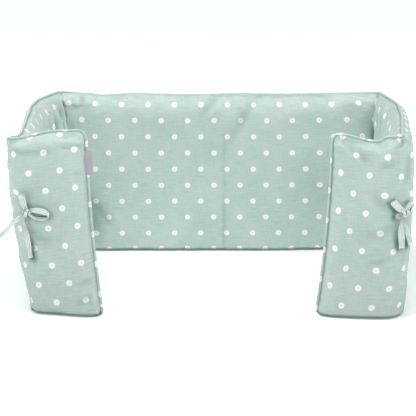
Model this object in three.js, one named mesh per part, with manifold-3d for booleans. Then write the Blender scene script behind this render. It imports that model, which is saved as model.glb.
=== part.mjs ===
// Dog crate bumper: one long filled cotton pad standing on its edge and bent into a C, with a back,
// two sides and two short front flaps that leave a door gap between them. Piping runs round the
// whole seam, cloth ties are knotted in a bow at each front corner, and a small bare label tab is
// sewn into the seam of the left flap. Millimetres, +Z up, the door gap faces -Y.
import * as THREE from 'three';
import { mergeVertices } from 'three/addons/utils/BufferGeometryUtils.js';
import loadManifold from 'manifold-3d';

const manifold = await loadManifold();
manifold.setup();

// ---- driving sizes ----
const PAD_HALF = 18; // half of the filled thickness
const FOLD_PINCH = 0.6; // share of the thickness lost along a sewn fold line
const FOLD_SPREAD = 15; // how far the pinch reaches from the fold line
const CORNER_ROUND = 13; // rounding of the free edges' top and bottom corners
const EDGE_TAPER = 24; // length over which the filling thins towards a free edge
const PIPING_RADIUS = 2.3;
const GAP = 0.3; // clearance between pieces that touch in the real thing
const LAND_HALF = 2.8; // half width of the flat seam that the piping sits on
const GROOVE_HALF = 3.1; // half width of the groove that the piping lies in under the pad
const PIPING_FLOOR = 0.2; // the pad's own weight rests on its two lips, not on the piping
const TIE_WIDTH = 10;
const TIE_THICK = 1.2;
const KNOT_SIZE = { across: 13, deep: 9, high: 12 };
const LABEL = { width: 12, height: 38, thick: 1.4, foot: 224, ahead: 3.4 };

const LIP_EDGE = 0.1; // rim between the groove and the pad's outside
const LEAST_FILL = 0.4; // filling left outside the groove where the pad is thinnest

const TINY = 1e-4; // points closer than this are one point

const PIPING_REST = PIPING_RADIUS + GAP; // from the seam to the middle of the piping
const GROOVE_TOP = PIPING_FLOOR + PIPING_RADIUS + PIPING_REST; // height of the groove's roof

// The corners of the seam seen from above, walked from the left flap's free edge round the back to
// the right flap's. x and y are taken along the top, footX and footY on the floor, and top is the
// height of the seam there. sway is how far the cloth sways in x at half its height, and bend is
// the radius of the turn. An edge is a free end, a soft corner only bends, and a fold is stitched
// through the pad from top to bottom.
const PLAN = [
  { at: 'left end', kind: 'edge', x: -199, y: -353, footX: -171, footY: -380, sway: -6, top: 291, bend: 0 },
  { at: 'left flap', kind: 'soft', x: -236, y: -350, footX: -215, footY: -377, sway: -3, top: 289, bend: 90 },
  { at: 'left front', kind: 'fold', x: -317, y: -350, footX: -279, footY: -372, sway: -4, top: 275, bend: 16 },
  { at: 'left side', kind: 'soft', x: -299, y: -296, footX: -266, footY: -310, sway: -3, top: 282, bend: 60 },
  { at: 'left side', kind: 'soft', x: -297, y: -116, footX: -264, footY: -120, sway: 0, top: 288, bend: 200 },
  { at: 'left back', kind: 'fold', x: -271, y: 24, footX: -262, footY: 20, sway: 0, top: 288, bend: 30 },
  { at: 'back', kind: 'soft', x: 20, y: 18, footX: 20, footY: 18, sway: 0, top: 287, bend: 300 },
  { at: 'right back', kind: 'fold', x: 324, y: 22, footX: 303, footY: 20, sway: 0, top: 288, bend: 30 },
  { at: 'right side', kind: 'soft', x: 336, y: -110, footX: 309, footY: -120, sway: 2, top: 288, bend: 200 },
  { at: 'right side', kind: 'soft', x: 315, y: -310, footX: 302, footY: -320, sway: 3, top: 286, bend: 200 },
  { at: 'right front', kind: 'fold', x: 302, y: -396, footX: 296, footY: -404, sway: 3, top: 285, bend: 18 },
  { at: 'right flap', kind: 'soft', x: 238, y: -382, footX: 225, footY: -395, sway: 0, top: 277, bend: 120 },
  { at: 'right end', kind: 'edge', x: 193, y: -375, footX: 172, footY: -385, sway: 0, top: 290, bend: 0 },
];
const TURN_STEPS = { edge: 0, soft: 3, fold: 7 }; // stations round each kind of corner
const STATION_SPACING = 28; // between stations on the straight runs
const EDGE_STATIONS = [0, 0.05, 0.19, 0.41, 0.69, 1]; // round a free edge's corner, in CORNER_ROUND
const EDGE_CLEAR = 1.6; // no other station nearer a free edge than this, in CORNER_ROUND
const CORNER_TURN = [0, 18, 36, 54, 72, 90]; // degrees of the piping's sections round a corner

// Half of the pad's section, from the floor up. drop is the distance from the floor or from the top,
// and full is the share of the half thickness there.
const SECTION = [
  { from: 'floor', drop: 0, full: 0.72 },
  { from: 'floor', drop: 3, full: 0.9 },
  { from: 'floor', drop: 11, full: 1 },
  { from: 'floor', drop: 62, full: 1.03 },
  { from: 'floor', drop: 150, full: 1.05 },
  { from: 'top', drop: 62, full: 1 },
  { from: 'top', drop: 26, full: 0.92 },
  { from: 'top', drop: 11, full: 0.7 },
  { from: 'top', drop: 3, full: 0.38 },
];

// Where the middle of each knot stands, against the fold at its front corner.
const LEFT_KNOT = { x: -289, y: -382, z: 161 };
const RIGHT_KNOT = { x: 305, y: -408.5, z: 172 };

// The four cloth ties, two to a bow, measured from the middle of their knot: right, out (away from
// the pad, towards the door side) and up. wide is the share of the tie's full width, drawn in at the
// knot, and lean is the turn of the width away from lying flat. A knotted tie holds the knot's lump
// and starts each strip inside it. A threaded tie is one strip that passes behind the lump.
const TIES = [
  {
    name: 'tie_left_knotted',
    knot: LEFT_KNOT,
    lump: true,
    strips: [
      [
        { right: -1, out: 1, up: 2, wide: 0.4, lean: 0 },
        { right: -2.5, out: 3, up: 9, wide: 0.7, lean: 10 },
        { right: -5, out: 5, up: 19, wide: 0.85, lean: 15 },
        { right: -7, out: 4, up: 28, wide: 0.85, lean: 15 },
        { right: -6.8, out: 0, up: 29, wide: 0.85, lean: 15 },
        { right: -5, out: -3.5, up: 22, wide: 0.85, lean: 15 },
        { right: -2.5, out: -3, up: 10, wide: 0.7, lean: 10 },
        { right: -1, out: -1.5, up: 2, wide: 0.4, lean: 0 },
      ],
      [
        { right: -1, out: 0, up: -3, wide: 0.4, lean: 0 },
        { right: -3, out: -0.5, up: -13, wide: 0.35, lean: 20 },
        { right: -0.5, out: -2, up: -26, wide: 0.65, lean: 10 },
        { right: 2.5, out: -3, up: -40, wide: 0.8, lean: 0 },
        { right: 5, out: -2.4, up: -55, wide: 0.8, lean: 0 },
        { right: 5, out: -2, up: -69, wide: 0.8, lean: 0 },
      ],
    ],
  },
  {
    name: 'tie_left_threaded',
    knot: LEFT_KNOT,
    lump: false,
    strips: [
      [
        { right: -51, out: -9, up: -44, wide: 1, lean: 72 },
        { right: -43, out: -9, up: -36, wide: 1, lean: 66 },
        { right: -31, out: -10, up: -25, wide: 0.95, lean: 50 },
        { right: -19.5, out: -12, up: -12.5, wide: 0.85, lean: 25 },
        { right: -9, out: -12.9, up: -4, wide: 0.6, lean: 0 },
        { right: 0, out: -7.5, up: 0, wide: 0.45, lean: 0 },
        { right: 7.5, out: -3.6, up: 3, wide: 0.5, lean: 20 },
        { right: 13, out: 1, up: 9, wide: 0.9, lean: 60 },
        { right: 22, out: 3.6, up: 10.5, wide: 1, lean: 74 },
        { right: 31, out: 4.6, up: 6.5, wide: 1, lean: 74 },
        { right: 34, out: 4.6, up: 2.5, wide: 1, lean: 74 },
        { right: 29, out: 4.4, up: -1.8, wide: 1, lean: 74 },
        { right: 20, out: 3, up: -3.5, wide: 1, lean: 70 },
        { right: 12.5, out: 1, up: -2.5, wide: 0.7, lean: 60 },
        { right: 8, out: 0.3, up: -1, wide: 0.5, lean: 60 },
      ],
    ],
  },
  {
    name: 'tie_right_knotted',
    knot: RIGHT_KNOT,
    lump: true,
    strips: [
      [
        { right: -2, out: 1, up: 2, wide: 0.4, lean: 0 },
        { right: -7, out: 4, up: 6, wide: 0.7, lean: 0 },
        { right: -13, out: 6.5, up: 11, wide: 0.9, lean: 0 },
        { right: -17.5, out: 7, up: 16, wide: 0.9, lean: 0 },
        { right: -18, out: 4, up: 16.5, wide: 0.9, lean: 0 },
        { right: -13, out: 2.8, up: 10, wide: 0.9, lean: 0 },
        { right: -7, out: 1, up: 5, wide: 0.7, lean: 0 },
        { right: -2, out: -1, up: 2, wide: 0.4, lean: 0 },
      ],
      [
        { right: -1, out: 0, up: -3, wide: 0.4, lean: 0 },
        { right: -3.5, out: 1.5, up: -14, wide: 0.6, lean: 0 },
        { right: -3.5, out: 1, up: -26, wide: 0.9, lean: -10 },
        { right: -2, out: 0.2, up: -41, wide: 0.9, lean: -15 },
        { right: -0.5, out: -0.5, up: -57, wide: 0.9, lean: -15 },
      ],
    ],
  },
  {
    name: 'tie_right_threaded',
    knot: RIGHT_KNOT,
    lump: false,
    strips: [
      [
        { right: 7.8, out: -2, up: 1, wide: 0.5, lean: 70 },
        { right: 11, out: -3.5, up: 3.5, wide: 0.8, lean: 75 },
        { right: 15.5, out: -6, up: 7.5, wide: 1, lean: 78 },
        { right: 15, out: -7, up: 10.5, wide: 1, lean: 78 },
        { right: 9.5, out: -7.5, up: 8.5, wide: 0.8, lean: 55 },
        { right: 5, out: -11.3, up: 3.5, wide: 0.5, lean: 10 },
        { right: 0, out: -8.4, up: 0, wide: 0.45, lean: 0 },
        { right: -5.5, out: -4.2, up: -2.5, wide: 0.45, lean: 0 },
        { right: -10, out: 0.5, up: -5, wide: 0.6, lean: 10 },
        { right: -9.5, out: 1.2, up: -8.5, wide: 0.55, lean: 10 },
        { right: -5, out: -3, up: -12.5, wide: 0.6, lean: -20 },
        { right: 1, out: -7.6, up: -20, wide: 0.8, lean: -38 },
        { right: 6, out: -12, up: -31, wide: 1, lean: -40 },
        { right: 12.5, out: -17, up: -45, wide: 1, lean: -42 },
        { right: 18.5, out: -23, up: -60, wide: 1, lean: -45 },
      ],
    ],
  },
];
const STRIP_STEPS = 3; // sections between two points of a tie

const COTTON = { color: 0xb2cbc3, roughness: 0.9, metalness: 0 };
const TAPE = { color: 0xaeacb2, roughness: 0.8, metalness: 0 };

// ---- small helpers ----
const mix = (a, b, t) => a + (b - a) * t;
const smooth = (t) => t * t * (3 - 2 * t);
const flat = (x, y) => new THREE.Vector2(x, y);

// A mesh made of closed rings of points joined one to the next. A loop joins its last ring to the
// first. Otherwise each end is closed by joining the ring's first half to its second half.
function ringMesh(name, rings, finish, loop = false) {
  const count = rings[0].length;
  const points = rings.flat();
  const faces = [];
  const addFace = (...corners) => {
    const [a, b, c] = corners.map((corner) => points[corner]);
    if (a.distanceTo(b) > TINY && b.distanceTo(c) > TINY && c.distanceTo(a) > TINY) {
      faces.push(...corners);
    }
  };
  const last = loop ? rings.length : rings.length - 1;
  for (let i = 0; i < last; i += 1) {
    const here = i * count;
    const next = ((i + 1) % rings.length) * count;
    for (let k = 0; k < count; k += 1) {
      const after = (k + 1) % count;
      addFace(here + k, here + after, next + k);
      addFace(next + k, here + after, next + after);
    }
  }
  if (!loop) {
    const end = (rings.length - 1) * count;
    for (let k = 0; k < count / 2 - 1; k += 1) {
      const facing = count - 1 - k;
      addFace(k, facing, k + 1);
      addFace(k + 1, facing, facing - 1);
      addFace(end + k, end + k + 1, end + facing);
      addFace(end + k + 1, end + facing - 1, end + facing);
    }
  }
  const geometry = new THREE.BufferGeometry().setFromPoints(points);
  geometry.setIndex(faces);
  geometry.computeVertexNormals();
  const mesh = new THREE.Mesh(geometry, new THREE.MeshStandardMaterial(finish));
  mesh.name = name;
  return mesh;
}

// ---- the line that the pad follows ----
// One level of the plan (along the top or on the floor) as a list of runs: points on the straights
// and round each bend. spans gives the number of points on each straight.
function walkPlan(corners, spans) {
  const enter = [];
  const leave = [];
  corners.forEach((corner, i) => {
    const before = corners[i - 1];
    const after = corners[i + 1];
    if (!before || !after) {
      enter.push(corner.spot.clone());
      leave.push(corner.spot.clone());
      return;
    }
    const into = corner.spot.clone().sub(before.spot).normalize();
    const out = after.spot.clone().sub(corner.spot).normalize();
    const turn = Math.acos(THREE.MathUtils.clamp(into.dot(out), -1, 1));
    const reach = corner.bend * Math.tan(turn / 2);
    enter.push(corner.spot.clone().addScaledVector(into, -reach));
    leave.push(corner.spot.clone().addScaledVector(out, reach));
  });
  const walked = [];
  corners.forEach((corner, i) => {
    const steps = TURN_STEPS[corner.kind];
    for (let k = 0; k < steps; k += 1) {
      const t = k / (steps - 1);
      const first = enter[i].clone().lerp(corner.spot, t);
      const second = corner.spot.clone().lerp(leave[i], t);
      walked.push({ spot: first.lerp(second, t), share: t, corner: i });
    }
    if (steps === 0) {
      walked.push({ spot: corner.spot.clone(), share: 0, corner: i });
    }
    if (i < corners.length - 1) {
      for (let k = 1; k < spans[i]; k += 1) {
        const t = k / spans[i];
        walked.push({ spot: leave[i].clone().lerp(enter[i + 1], t), share: t, run: i });
      }
    }
  });
  return walked;
}

// Stations along the pad: where its seam stands at the top and on the floor, the height of the
// seam, how far along the pad it is, and the way out of the C.
function makeStations() {
  const spans = PLAN.slice(1).map((corner, i) => {
    const length = flat(corner.x, corner.y).distanceTo(flat(PLAN[i].x, PLAN[i].y));
    return Math.max(2, Math.round(length / STATION_SPACING));
  });
  const level = (x, y) => PLAN.map((corner) => ({ ...corner, spot: flat(corner[x], corner[y]) }));
  const tops = walkPlan(level('x', 'y'), spans);
  const feet = walkPlan(level('footX', 'footY'), spans);
  const stations = tops.map((top, i) => {
    const between = top.run === undefined ? 0 : smooth(top.share);
    const index = top.run === undefined ? top.corner : top.run;
    const following = PLAN[Math.min(index + 1, PLAN.length - 1)].top;
    return {
      top: top.spot,
      foot: feet[i].spot,
      height: mix(PLAN[index].top, following, between),
      sway: mix(PLAN[index].sway, PLAN[Math.min(index + 1, PLAN.length - 1)].sway, between),
      fold: top.corner !== undefined && PLAN[top.corner].kind === 'fold' && top.share === 0.5,
    };
  });
  let along = 0;
  stations.forEach((station, i) => {
    const before = stations[i - 1];
    if (before) {
      along += (station.top.distanceTo(before.top) + station.foot.distanceTo(before.foot)) / 2;
    }
    station.along = along;
  });
  return stations;
}

// The station at any distance along the pad. Past either end it follows the last stretch on.
function stationAt(stations, along) {
  let i = stations.findIndex((station) => station.along > along);
  if (i < 0) {
    i = stations.length - 1;
  }
  i = Math.max(i, 1);
  const a = stations[i - 1];
  const b = stations[i];
  const t = (along - a.along) / (b.along - a.along);
  const forward = b.top.clone().sub(a.top).normalize().add(b.foot.clone().sub(a.foot).normalize());
  return {
    top: a.top.clone().lerp(b.top, t),
    foot: a.foot.clone().lerp(b.foot, t),
    height: mix(a.height, b.height, THREE.MathUtils.clamp(t, 0, 1)),
    sway: mix(a.sway, b.sway, THREE.MathUtils.clamp(t, 0, 1)),
    along,
    out: flat(-forward.y, forward.x).normalize(),
  };
}

// Fits extra stations round the corners of the two free edges, and turns each station to face out.
function finishStations(walked) {
  const total = walked[walked.length - 1].along;
  const near = CORNER_ROUND * EDGE_CLEAR;
  const kept = walked.filter((station) => station.along > near && station.along < total - near);
  const starts = EDGE_STATIONS.map((share) => stationAt(walked, share * CORNER_ROUND));
  const ends = EDGE_STATIONS.map((share) => stationAt(walked, total - share * CORNER_ROUND));
  const all = [...starts, ...kept, ...ends.reverse()];
  all.forEach((station, i) => {
    const a = all[Math.max(i - 1, 0)];
    const b = all[Math.min(i + 1, all.length - 1)];
    const forward = b.top.clone().sub(a.top).normalize().add(b.foot.clone().sub(a.foot).normalize());
    station.out = flat(-forward.y, forward.x).normalize();
  });
  return all;
}

// A point of the pad: at a height on a station's leaning line, moved out from the seam.
function padPoint(station, height, offset) {
  const share = height / station.height;
  const sway = station.sway * 4 * share * (1 - share);
  return new THREE.Vector3(
    mix(station.foot.x, station.top.x, share) + sway + station.out.x * offset,
    mix(station.foot.y, station.top.y, share) + station.out.y * offset,
    height,
  );
}

// ---- pad ----
// How far the seam and the lips under it rise at a distance from the nearest free edge.
function cornerRise(radius, inset) {
  const inside = Math.max(radius - inset, 0);
  return radius - Math.sqrt(Math.max(radius * radius - inside * inside, 0));
}

// The heights of the lips, the seam's two edges and each row of the section at a station.
function sectionHeights(station, total) {
  const inset = Math.max(Math.min(station.along, total - station.along), 0);
  const seamRise = cornerRise(CORNER_ROUND, inset);
  const lipRise = cornerRise(CORNER_ROUND + GROOVE_TOP, inset * (1 + GROOVE_TOP / CORNER_ROUND));
  const floor = inset < CORNER_ROUND ? lipRise : 0;
  const roof = station.height - seamRise;
  const rows = SECTION.map((row) => {
    const nominal = row.from === 'floor' ? row.drop : station.height - row.drop;
    return mix(floor, roof, nominal / station.height);
  });
  return { inset, floor, seam: GROOVE_TOP + seamRise, roof, rows };
}

// The outline of the filling at a station, as offset and height pairs.
function padOutline(station, total, folds) {
  const { inset, floor, seam, roof, rows } = sectionHeights(station, total);
  const pinch = folds.reduce((sum, at) => {
    return sum + Math.exp(-(((station.along - at) / FOLD_SPREAD) ** 2));
  }, 0);
  const open = Math.max(EDGE_TAPER - inset, 0) / EDGE_TAPER;
  const taper = Math.sqrt(Math.max(1 - open * open, 0));
  const half = PAD_HALF * (1 - FOLD_PINCH * pinch);
  const side = [
    { offset: GROOVE_HALF, height: seam },
    { offset: GROOVE_HALF, height: floor },
  ];
  SECTION.forEach((row, i) => {
    side.push({
      offset: GROOVE_HALF + Math.max(row.full * half - GROOVE_HALF, LEAST_FILL) * taper + LIP_EDGE,
      height: rows[i],
    });
  });
  side.push({ offset: LAND_HALF, height: roof });
  const mirrored = side.map((p) => ({ offset: -p.offset, height: p.height })).reverse();
  return [...side, ...mirrored];
}

function makePad(stations, total, folds) {
  const rings = stations.map((station) => {
    return padOutline(station, total, folds).map((p) => padPoint(station, p.height, p.offset));
  });
  return ringMesh('pad', rings, COTTON);
}

// ---- piping ----
// The middle of the piping as a closed loop of places on the pad: distance along it and height.
function pipingLoop(stations, total) {
  const round = CORNER_ROUND + PIPING_REST;
  const low = PIPING_FLOOR + PIPING_RADIUS;
  const straight = stations.filter((s) => s.along > CORNER_ROUND && s.along < total - CORNER_ROUND);
  const turn = CORNER_TURN.map((degrees) => THREE.MathUtils.degToRad(degrees));
  const corner = (atEnd, atTop) => turn.map((angle) => {
    const along = CORNER_ROUND - round * Math.cos(angle);
    const rise = round * (1 - Math.sin(angle));
    const station = stationAt(stations, atEnd ? total - along : along);
    const height = atTop ? station.height + PIPING_REST - rise : low + rise;
    return { station, height };
  });
  const edge = (atEnd) => {
    const station = stationAt(stations, atEnd ? total + PIPING_REST : -PIPING_REST);
    const { rows } = sectionHeights(station, total);
    const straightRows = rows.filter((height) => {
      return height > low + round + 1 && height < station.height + PIPING_REST - round - 1;
    });
    return straightRows.map((height) => ({ station, height }));
  };
  return [
    ...corner(false, false),
    ...straight.map((station) => ({ station, height: low })),
    ...corner(true, false).reverse(),
    ...edge(true),
    ...corner(true, true),
    ...straight.map((station) => ({ station, height: station.height + PIPING_REST })).reverse(),
    ...corner(false, true).reverse(),
    ...edge(false).reverse(),
  ];
}

function makePiping(stations, total) {
  const loop = pipingLoop(stations, total);
  const middles = loop.map(({ station, height }) => padPoint(station, height, 0));
  const rings = loop.map(({ station }, i) => {
    const before = middles[(i + loop.length - 1) % loop.length];
    const after = middles[(i + 1) % loop.length];
    const ahead = after.clone().sub(before).normalize();
    const across = new THREE.Vector3(station.out.x, station.out.y, 0);
    const away = new THREE.Vector3().crossVectors(ahead, across).normalize();
    across.crossVectors(away, ahead).normalize();
    const ring = [];
    for (let k = 0; k < 6; k += 1) {
      const angle = THREE.MathUtils.degToRad(30 + 60 * k);
      const point = middles[i].clone();
      point.addScaledVector(away, PIPING_RADIUS * Math.cos(angle));
      point.addScaledVector(across, -PIPING_RADIUS * Math.sin(angle));
      ring.push(point);
    }
    return ring;
  });
  return ringMesh('piping', rings, COTTON, true);
}

// ---- ties ----
// A flat strip of cloth through a short table of points, smoothed between them.
function makeStrip(knot, path) {
  const outward = new THREE.Vector3(0, -1, 0);
  const spots = path.map((p) => new THREE.Vector3(knot.x + p.right, knot.y - p.out, knot.z + p.up));
  const curve = new THREE.CatmullRomCurve3(spots, false, 'centripetal');
  const legs = path.length - 1;
  const rings = [];
  for (let i = 0; i <= legs * STRIP_STEPS; i += 1) {
    const t = i / (legs * STRIP_STEPS);
    const spot = curve.getPoint(t);
    const ahead = curve.getTangent(t);
    const leg = Math.min(Math.floor(t * legs), legs - 1);
    const share = t * legs - leg;
    const lean = THREE.MathUtils.degToRad(mix(path[leg].lean, path[leg + 1].lean, share));
    const wide = mix(path[leg].wide, path[leg + 1].wide, share);
    const across = new THREE.Vector3().crossVectors(outward, ahead).normalize();
    across.multiplyScalar(Math.cos(lean)).addScaledVector(outward, Math.sin(lean));
    across.addScaledVector(ahead, -across.dot(ahead)).normalize();
    const deep = new THREE.Vector3().crossVectors(ahead, across);
    rings.push([[-1, -1], [1, -1], [1, 1], [-1, 1]].map(([a, b]) => {
      const corner = spot.clone().addScaledVector(across, (a * wide * TIE_WIDTH) / 2);
      return corner.addScaledVector(deep, (b * TIE_THICK) / 2);
    }));
  }
  return ringMesh('strip', rings, COTTON);
}

// The knot's lump: wrapped cloth, rounded all over.
function makeLump(knot) {
  const geometry = new THREE.SphereGeometry(0.5, 14, 9);
  geometry.scale(KNOT_SIZE.across, KNOT_SIZE.deep, KNOT_SIZE.high);
  geometry.translate(knot.x, knot.y, knot.z);
  return new THREE.Mesh(geometry);
}

// A mesh's shape as one solid that can be joined to others.
function solidOf(mesh) {
  const bare = new THREE.BufferGeometry();
  bare.setAttribute('position', mesh.geometry.getAttribute('position'));
  bare.setIndex(mesh.geometry.index);
  const merged = mergeVertices(bare, TINY);
  return new manifold.Manifold(new manifold.Mesh({
    numProp: 3,
    vertProperties: merged.getAttribute('position').array,
    triVerts: new Uint32Array(merged.index.array),
  }));
}

function makeTie(tie) {
  const shapes = tie.strips.map((path) => makeStrip(tie.knot, path));
  if (tie.lump) {
    shapes.push(makeLump(tie.knot));
  }
  const joined = manifold.Manifold.union(shapes.map(solidOf)).getMesh();
  const geometry = new THREE.BufferGeometry();
  const points = new THREE.BufferAttribute(new Float32Array(joined.vertProperties), 3);
  geometry.setAttribute('position', points);
  geometry.setIndex(new THREE.BufferAttribute(new Uint32Array(joined.triVerts), 1));
  geometry.computeVertexNormals();
  const mesh = new THREE.Mesh(geometry, new THREE.MeshStandardMaterial(COTTON));
  mesh.name = tie.name;
  return mesh;
}

// ---- label ----
function makeLabel(stations) {
  const edge = stationAt(stations, -GAP);
  const low = padPoint(edge, LABEL.foot, LABEL.ahead);
  const high = padPoint(edge, LABEL.foot + LABEL.height, LABEL.ahead);
  const across = new THREE.Vector3(edge.out.y, -edge.out.x, 0).multiplyScalar(-LABEL.width);
  const deep = new THREE.Vector3(edge.out.x, edge.out.y, 0).multiplyScalar(LABEL.thick);
  const rings = [low, high].map((spot) => [
    spot.clone(),
    spot.clone().add(deep),
    spot.clone().add(deep).add(across),
    spot.clone().add(across),
  ]);
  return ringMesh('label', rings, TAPE);
}

// ---- the whole bumper ----
function makeBumper() {
  const group = new THREE.Group();
  group.name = 'dog_crate_bumper';
  const walked = makeStations();
  const total = walked[walked.length - 1].along;
  const folds = walked.filter((station) => station.fold).map((station) => station.along);
  const stations = finishStations(walked);
  group.add(makePad(stations, total, folds));
  group.add(makePiping(stations, total));
  group.add(makeLabel(stations));
  TIES.forEach((tie) => group.add(makeTie(tie)));
  const box = new THREE.Box3().setFromObject(group);
  const middle = box.getCenter(new THREE.Vector3());
  group.children.forEach((mesh) => mesh.geometry.translate(-middle.x, -middle.y, -box.min.z));
  return group;
}

export default makeBumper();
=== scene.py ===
"""Dog crate bumper: one long filled cotton pad bent into a C, piped round its seam, with bows at its
front corners and a bare label tab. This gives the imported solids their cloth: the swollen pad with
its puckers and creases, dotted cotton, folded ties and woven tape. Metres, +Z up, door gap at -Y."""

import math
from collections import namedtuple

import bpy
import numpy as np
from mathutils import Matrix, Vector, noise
from mathutils.bvhtree import BVHTree


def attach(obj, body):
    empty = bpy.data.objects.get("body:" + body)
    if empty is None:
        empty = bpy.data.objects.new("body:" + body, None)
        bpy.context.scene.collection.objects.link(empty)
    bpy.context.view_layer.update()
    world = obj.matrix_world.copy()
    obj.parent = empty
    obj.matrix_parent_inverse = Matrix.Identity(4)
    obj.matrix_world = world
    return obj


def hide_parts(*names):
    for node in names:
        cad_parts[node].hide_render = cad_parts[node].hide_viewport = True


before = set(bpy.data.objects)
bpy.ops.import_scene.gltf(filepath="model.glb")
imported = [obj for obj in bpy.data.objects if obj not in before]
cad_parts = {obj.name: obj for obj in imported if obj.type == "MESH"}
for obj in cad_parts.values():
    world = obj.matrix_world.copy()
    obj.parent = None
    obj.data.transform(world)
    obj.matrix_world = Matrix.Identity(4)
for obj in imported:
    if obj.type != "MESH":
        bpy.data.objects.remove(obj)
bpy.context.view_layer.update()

MM = 0.001

# ---- camera: the plan's own view of the bumper, from in front and above the door gap ----
CAMERA_PLACE = (-64.25, -2441.96, 720.0)
CAMERA_DOWN = 13.66
CAMERA_RIGHT = 1.49
CAMERA_ROLL = 0.25
CAMERA_LENS = 127.06
SENSOR = 36.0

# ---- sizes of the pad, in millimetres ----
PLAN_ZERO = (4.25, -188.04)  # the plan's x and y at the middle of the part's box
PAD_HALF = 18.0
CORNER_ROUND = 13.0
FOOT_CORNER = 5.0  # the flaps' lower corners are sewn nearly square
EDGE_TAPER = 24.0
PIPING_RADIUS = 2.3
PIPING_FLOOR = 0.2
GAP = 0.3
LAND_HALF = 2.8
GROOVE_HALF = 3.1
PIPING_REST = PIPING_RADIUS + GAP
PIPING_SUNK = 1.8  # how much deeper the soft piping beds into the seam than its solid does
GROOVE_TOP = PIPING_FLOOR + PIPING_RADIUS + PIPING_REST
BEVEL, BEVEL_FULL = 15.0, 0.84  # the top slopes off to this depth and share of the thickness
OUTER_ROUND = 26.0  # but the outside of the sides and back is a full round
FOOT_ROUND = 5.0  # the same above the floor, where the pad's weight flattens it
FOOT_FULL = 0.6
FOOT_LIFT = 1.3  # the pad stands on its piping, so its lower lips hang clear of the floor
LEFT_SIDE_OUTER = 0.5  # the left side's filling lies mostly on the inside of its seam
RIGHT_SIDE_OUTER = 0.85
SWELL_CAP = 2.2  # the farthest that the cloth may swell from its set shape
SWELL_STEPS = 20  # steps of the simulation
BELLY = 0.05  # share that the pad is fuller at half its height

Corner = namedtuple("Corner", "at kind x y foot_x foot_y sway top bend")
PLAN = [
    Corner("left end", "edge", -196, -353, -171, -391, -4.5, 292, 0),
    Corner("left flap", "soft", -236, -350, -215, -382, -3, 290, 90),
    Corner("left front", "fold", -318, -350, -283, -366, -6, 278, 7),
    Corner("left side", "soft", -304, -296, -269, -310, -3, 273, 60),
    Corner("left side", "soft", -302, -165, -265, -170, -1, 284, 60),
    Corner("left side", "soft", -301, -118, -264, -122, 0, 290.5, 30),
    Corner("left side", "soft", -294, -52, -263, -58, 0, 291, 80),
    Corner("left back", "fold", -264, 26, -257, 18, 3, 292, 16),
    Corner("back", "soft", -212, 21, -210, 14, 0, 290, 60),
    Corner("back", "soft", -186, 20, -184, 12, 0, 287, 60),
    Corner("back", "soft", -130, 19, -130, 12, 0, 290, 60),
    Corner("back", "soft", -20, 18, -20, 12, 0, 288, 200),
    Corner("back", "soft", 60, 18, 60, 12, 0, 290, 200),
    Corner("back", "soft", 150, 19, 150, 12, 0, 289, 200),
    Corner("right back", "fold", 323, 24, 313, 18, 13, 291, 14),
    Corner("right side", "soft", 337, -100, 309, -110, 3, 291, 120),
    Corner("right side", "soft", 328, -210, 306, -220, 2, 290, 200),
    Corner("right side", "soft", 313, -310, 299, -320, 3, 289, 200),
    Corner("right front", "fold", 300, -395, 293, -404, 3, 288, 20),
    Corner("right flap", "soft", 262, -386, 244, -401, 0, 280, 70),
    Corner("right end", "edge", 195.5, -375, 174.5, -388, 5, 291, 0),
]
# How a stitched fold draws each face in: the share of the half thickness lost on the fold line, and
# how far the loss reaches towards the pad's left end and towards its right end. slack is the part
# of the loss that is left far above and below the tie.
Pinch = namedtuple("Pinch", "share to_left to_right slack")
FOLD_SHAPES = {
    "left front": {1: Pinch(0.78, 8, 44, 1), -1: Pinch(0.8, 17, 17, 1)},
    "left back": {1: Pinch(0.5, 10, 10, 1), -1: Pinch(0.12, 6, 6, 1)},
    "right back": {1: Pinch(0.5, 10, 10, 1), -1: Pinch(0.3, 6, 6, 1)},
    "right front": {1: Pinch(0.55, 7, 8, 0.12), -1: Pinch(0.8, 16, 16, 1)},
}
TIE_HEIGHT, TIE_REACH = 150.0, 34.0  # where the front folds are drawn in by the ties
TURN_POINTS = {"edge": 1, "soft": 9, "fold": 13}
RUN_SPACING = 4.0

# ---- the cloth's grid ----
STATION_SPACING = 8.6  # along the pad
FOLD_SPACING = 2.5  # beside a stitched fold
FOLD_REACH = 12.5
EDGE_STATIONS = (0, 0.6, 2.2, 4.6, 7.6, 10.6, 13.6, 17.5, 22.0, 28.0)  # in from a free edge
ROW_SPACING = 9.0
FOOT_ROWS = (0.0, 1.0, 3.0, 6.0, 10.0, 16.0, 23.0)  # up from the floor
HEAD_ROWS = (31.0, 24.0, 18.0, 13.0, 9.0, 5.6, 3.0, 1.2, 0.3)  # down from the seam

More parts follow.
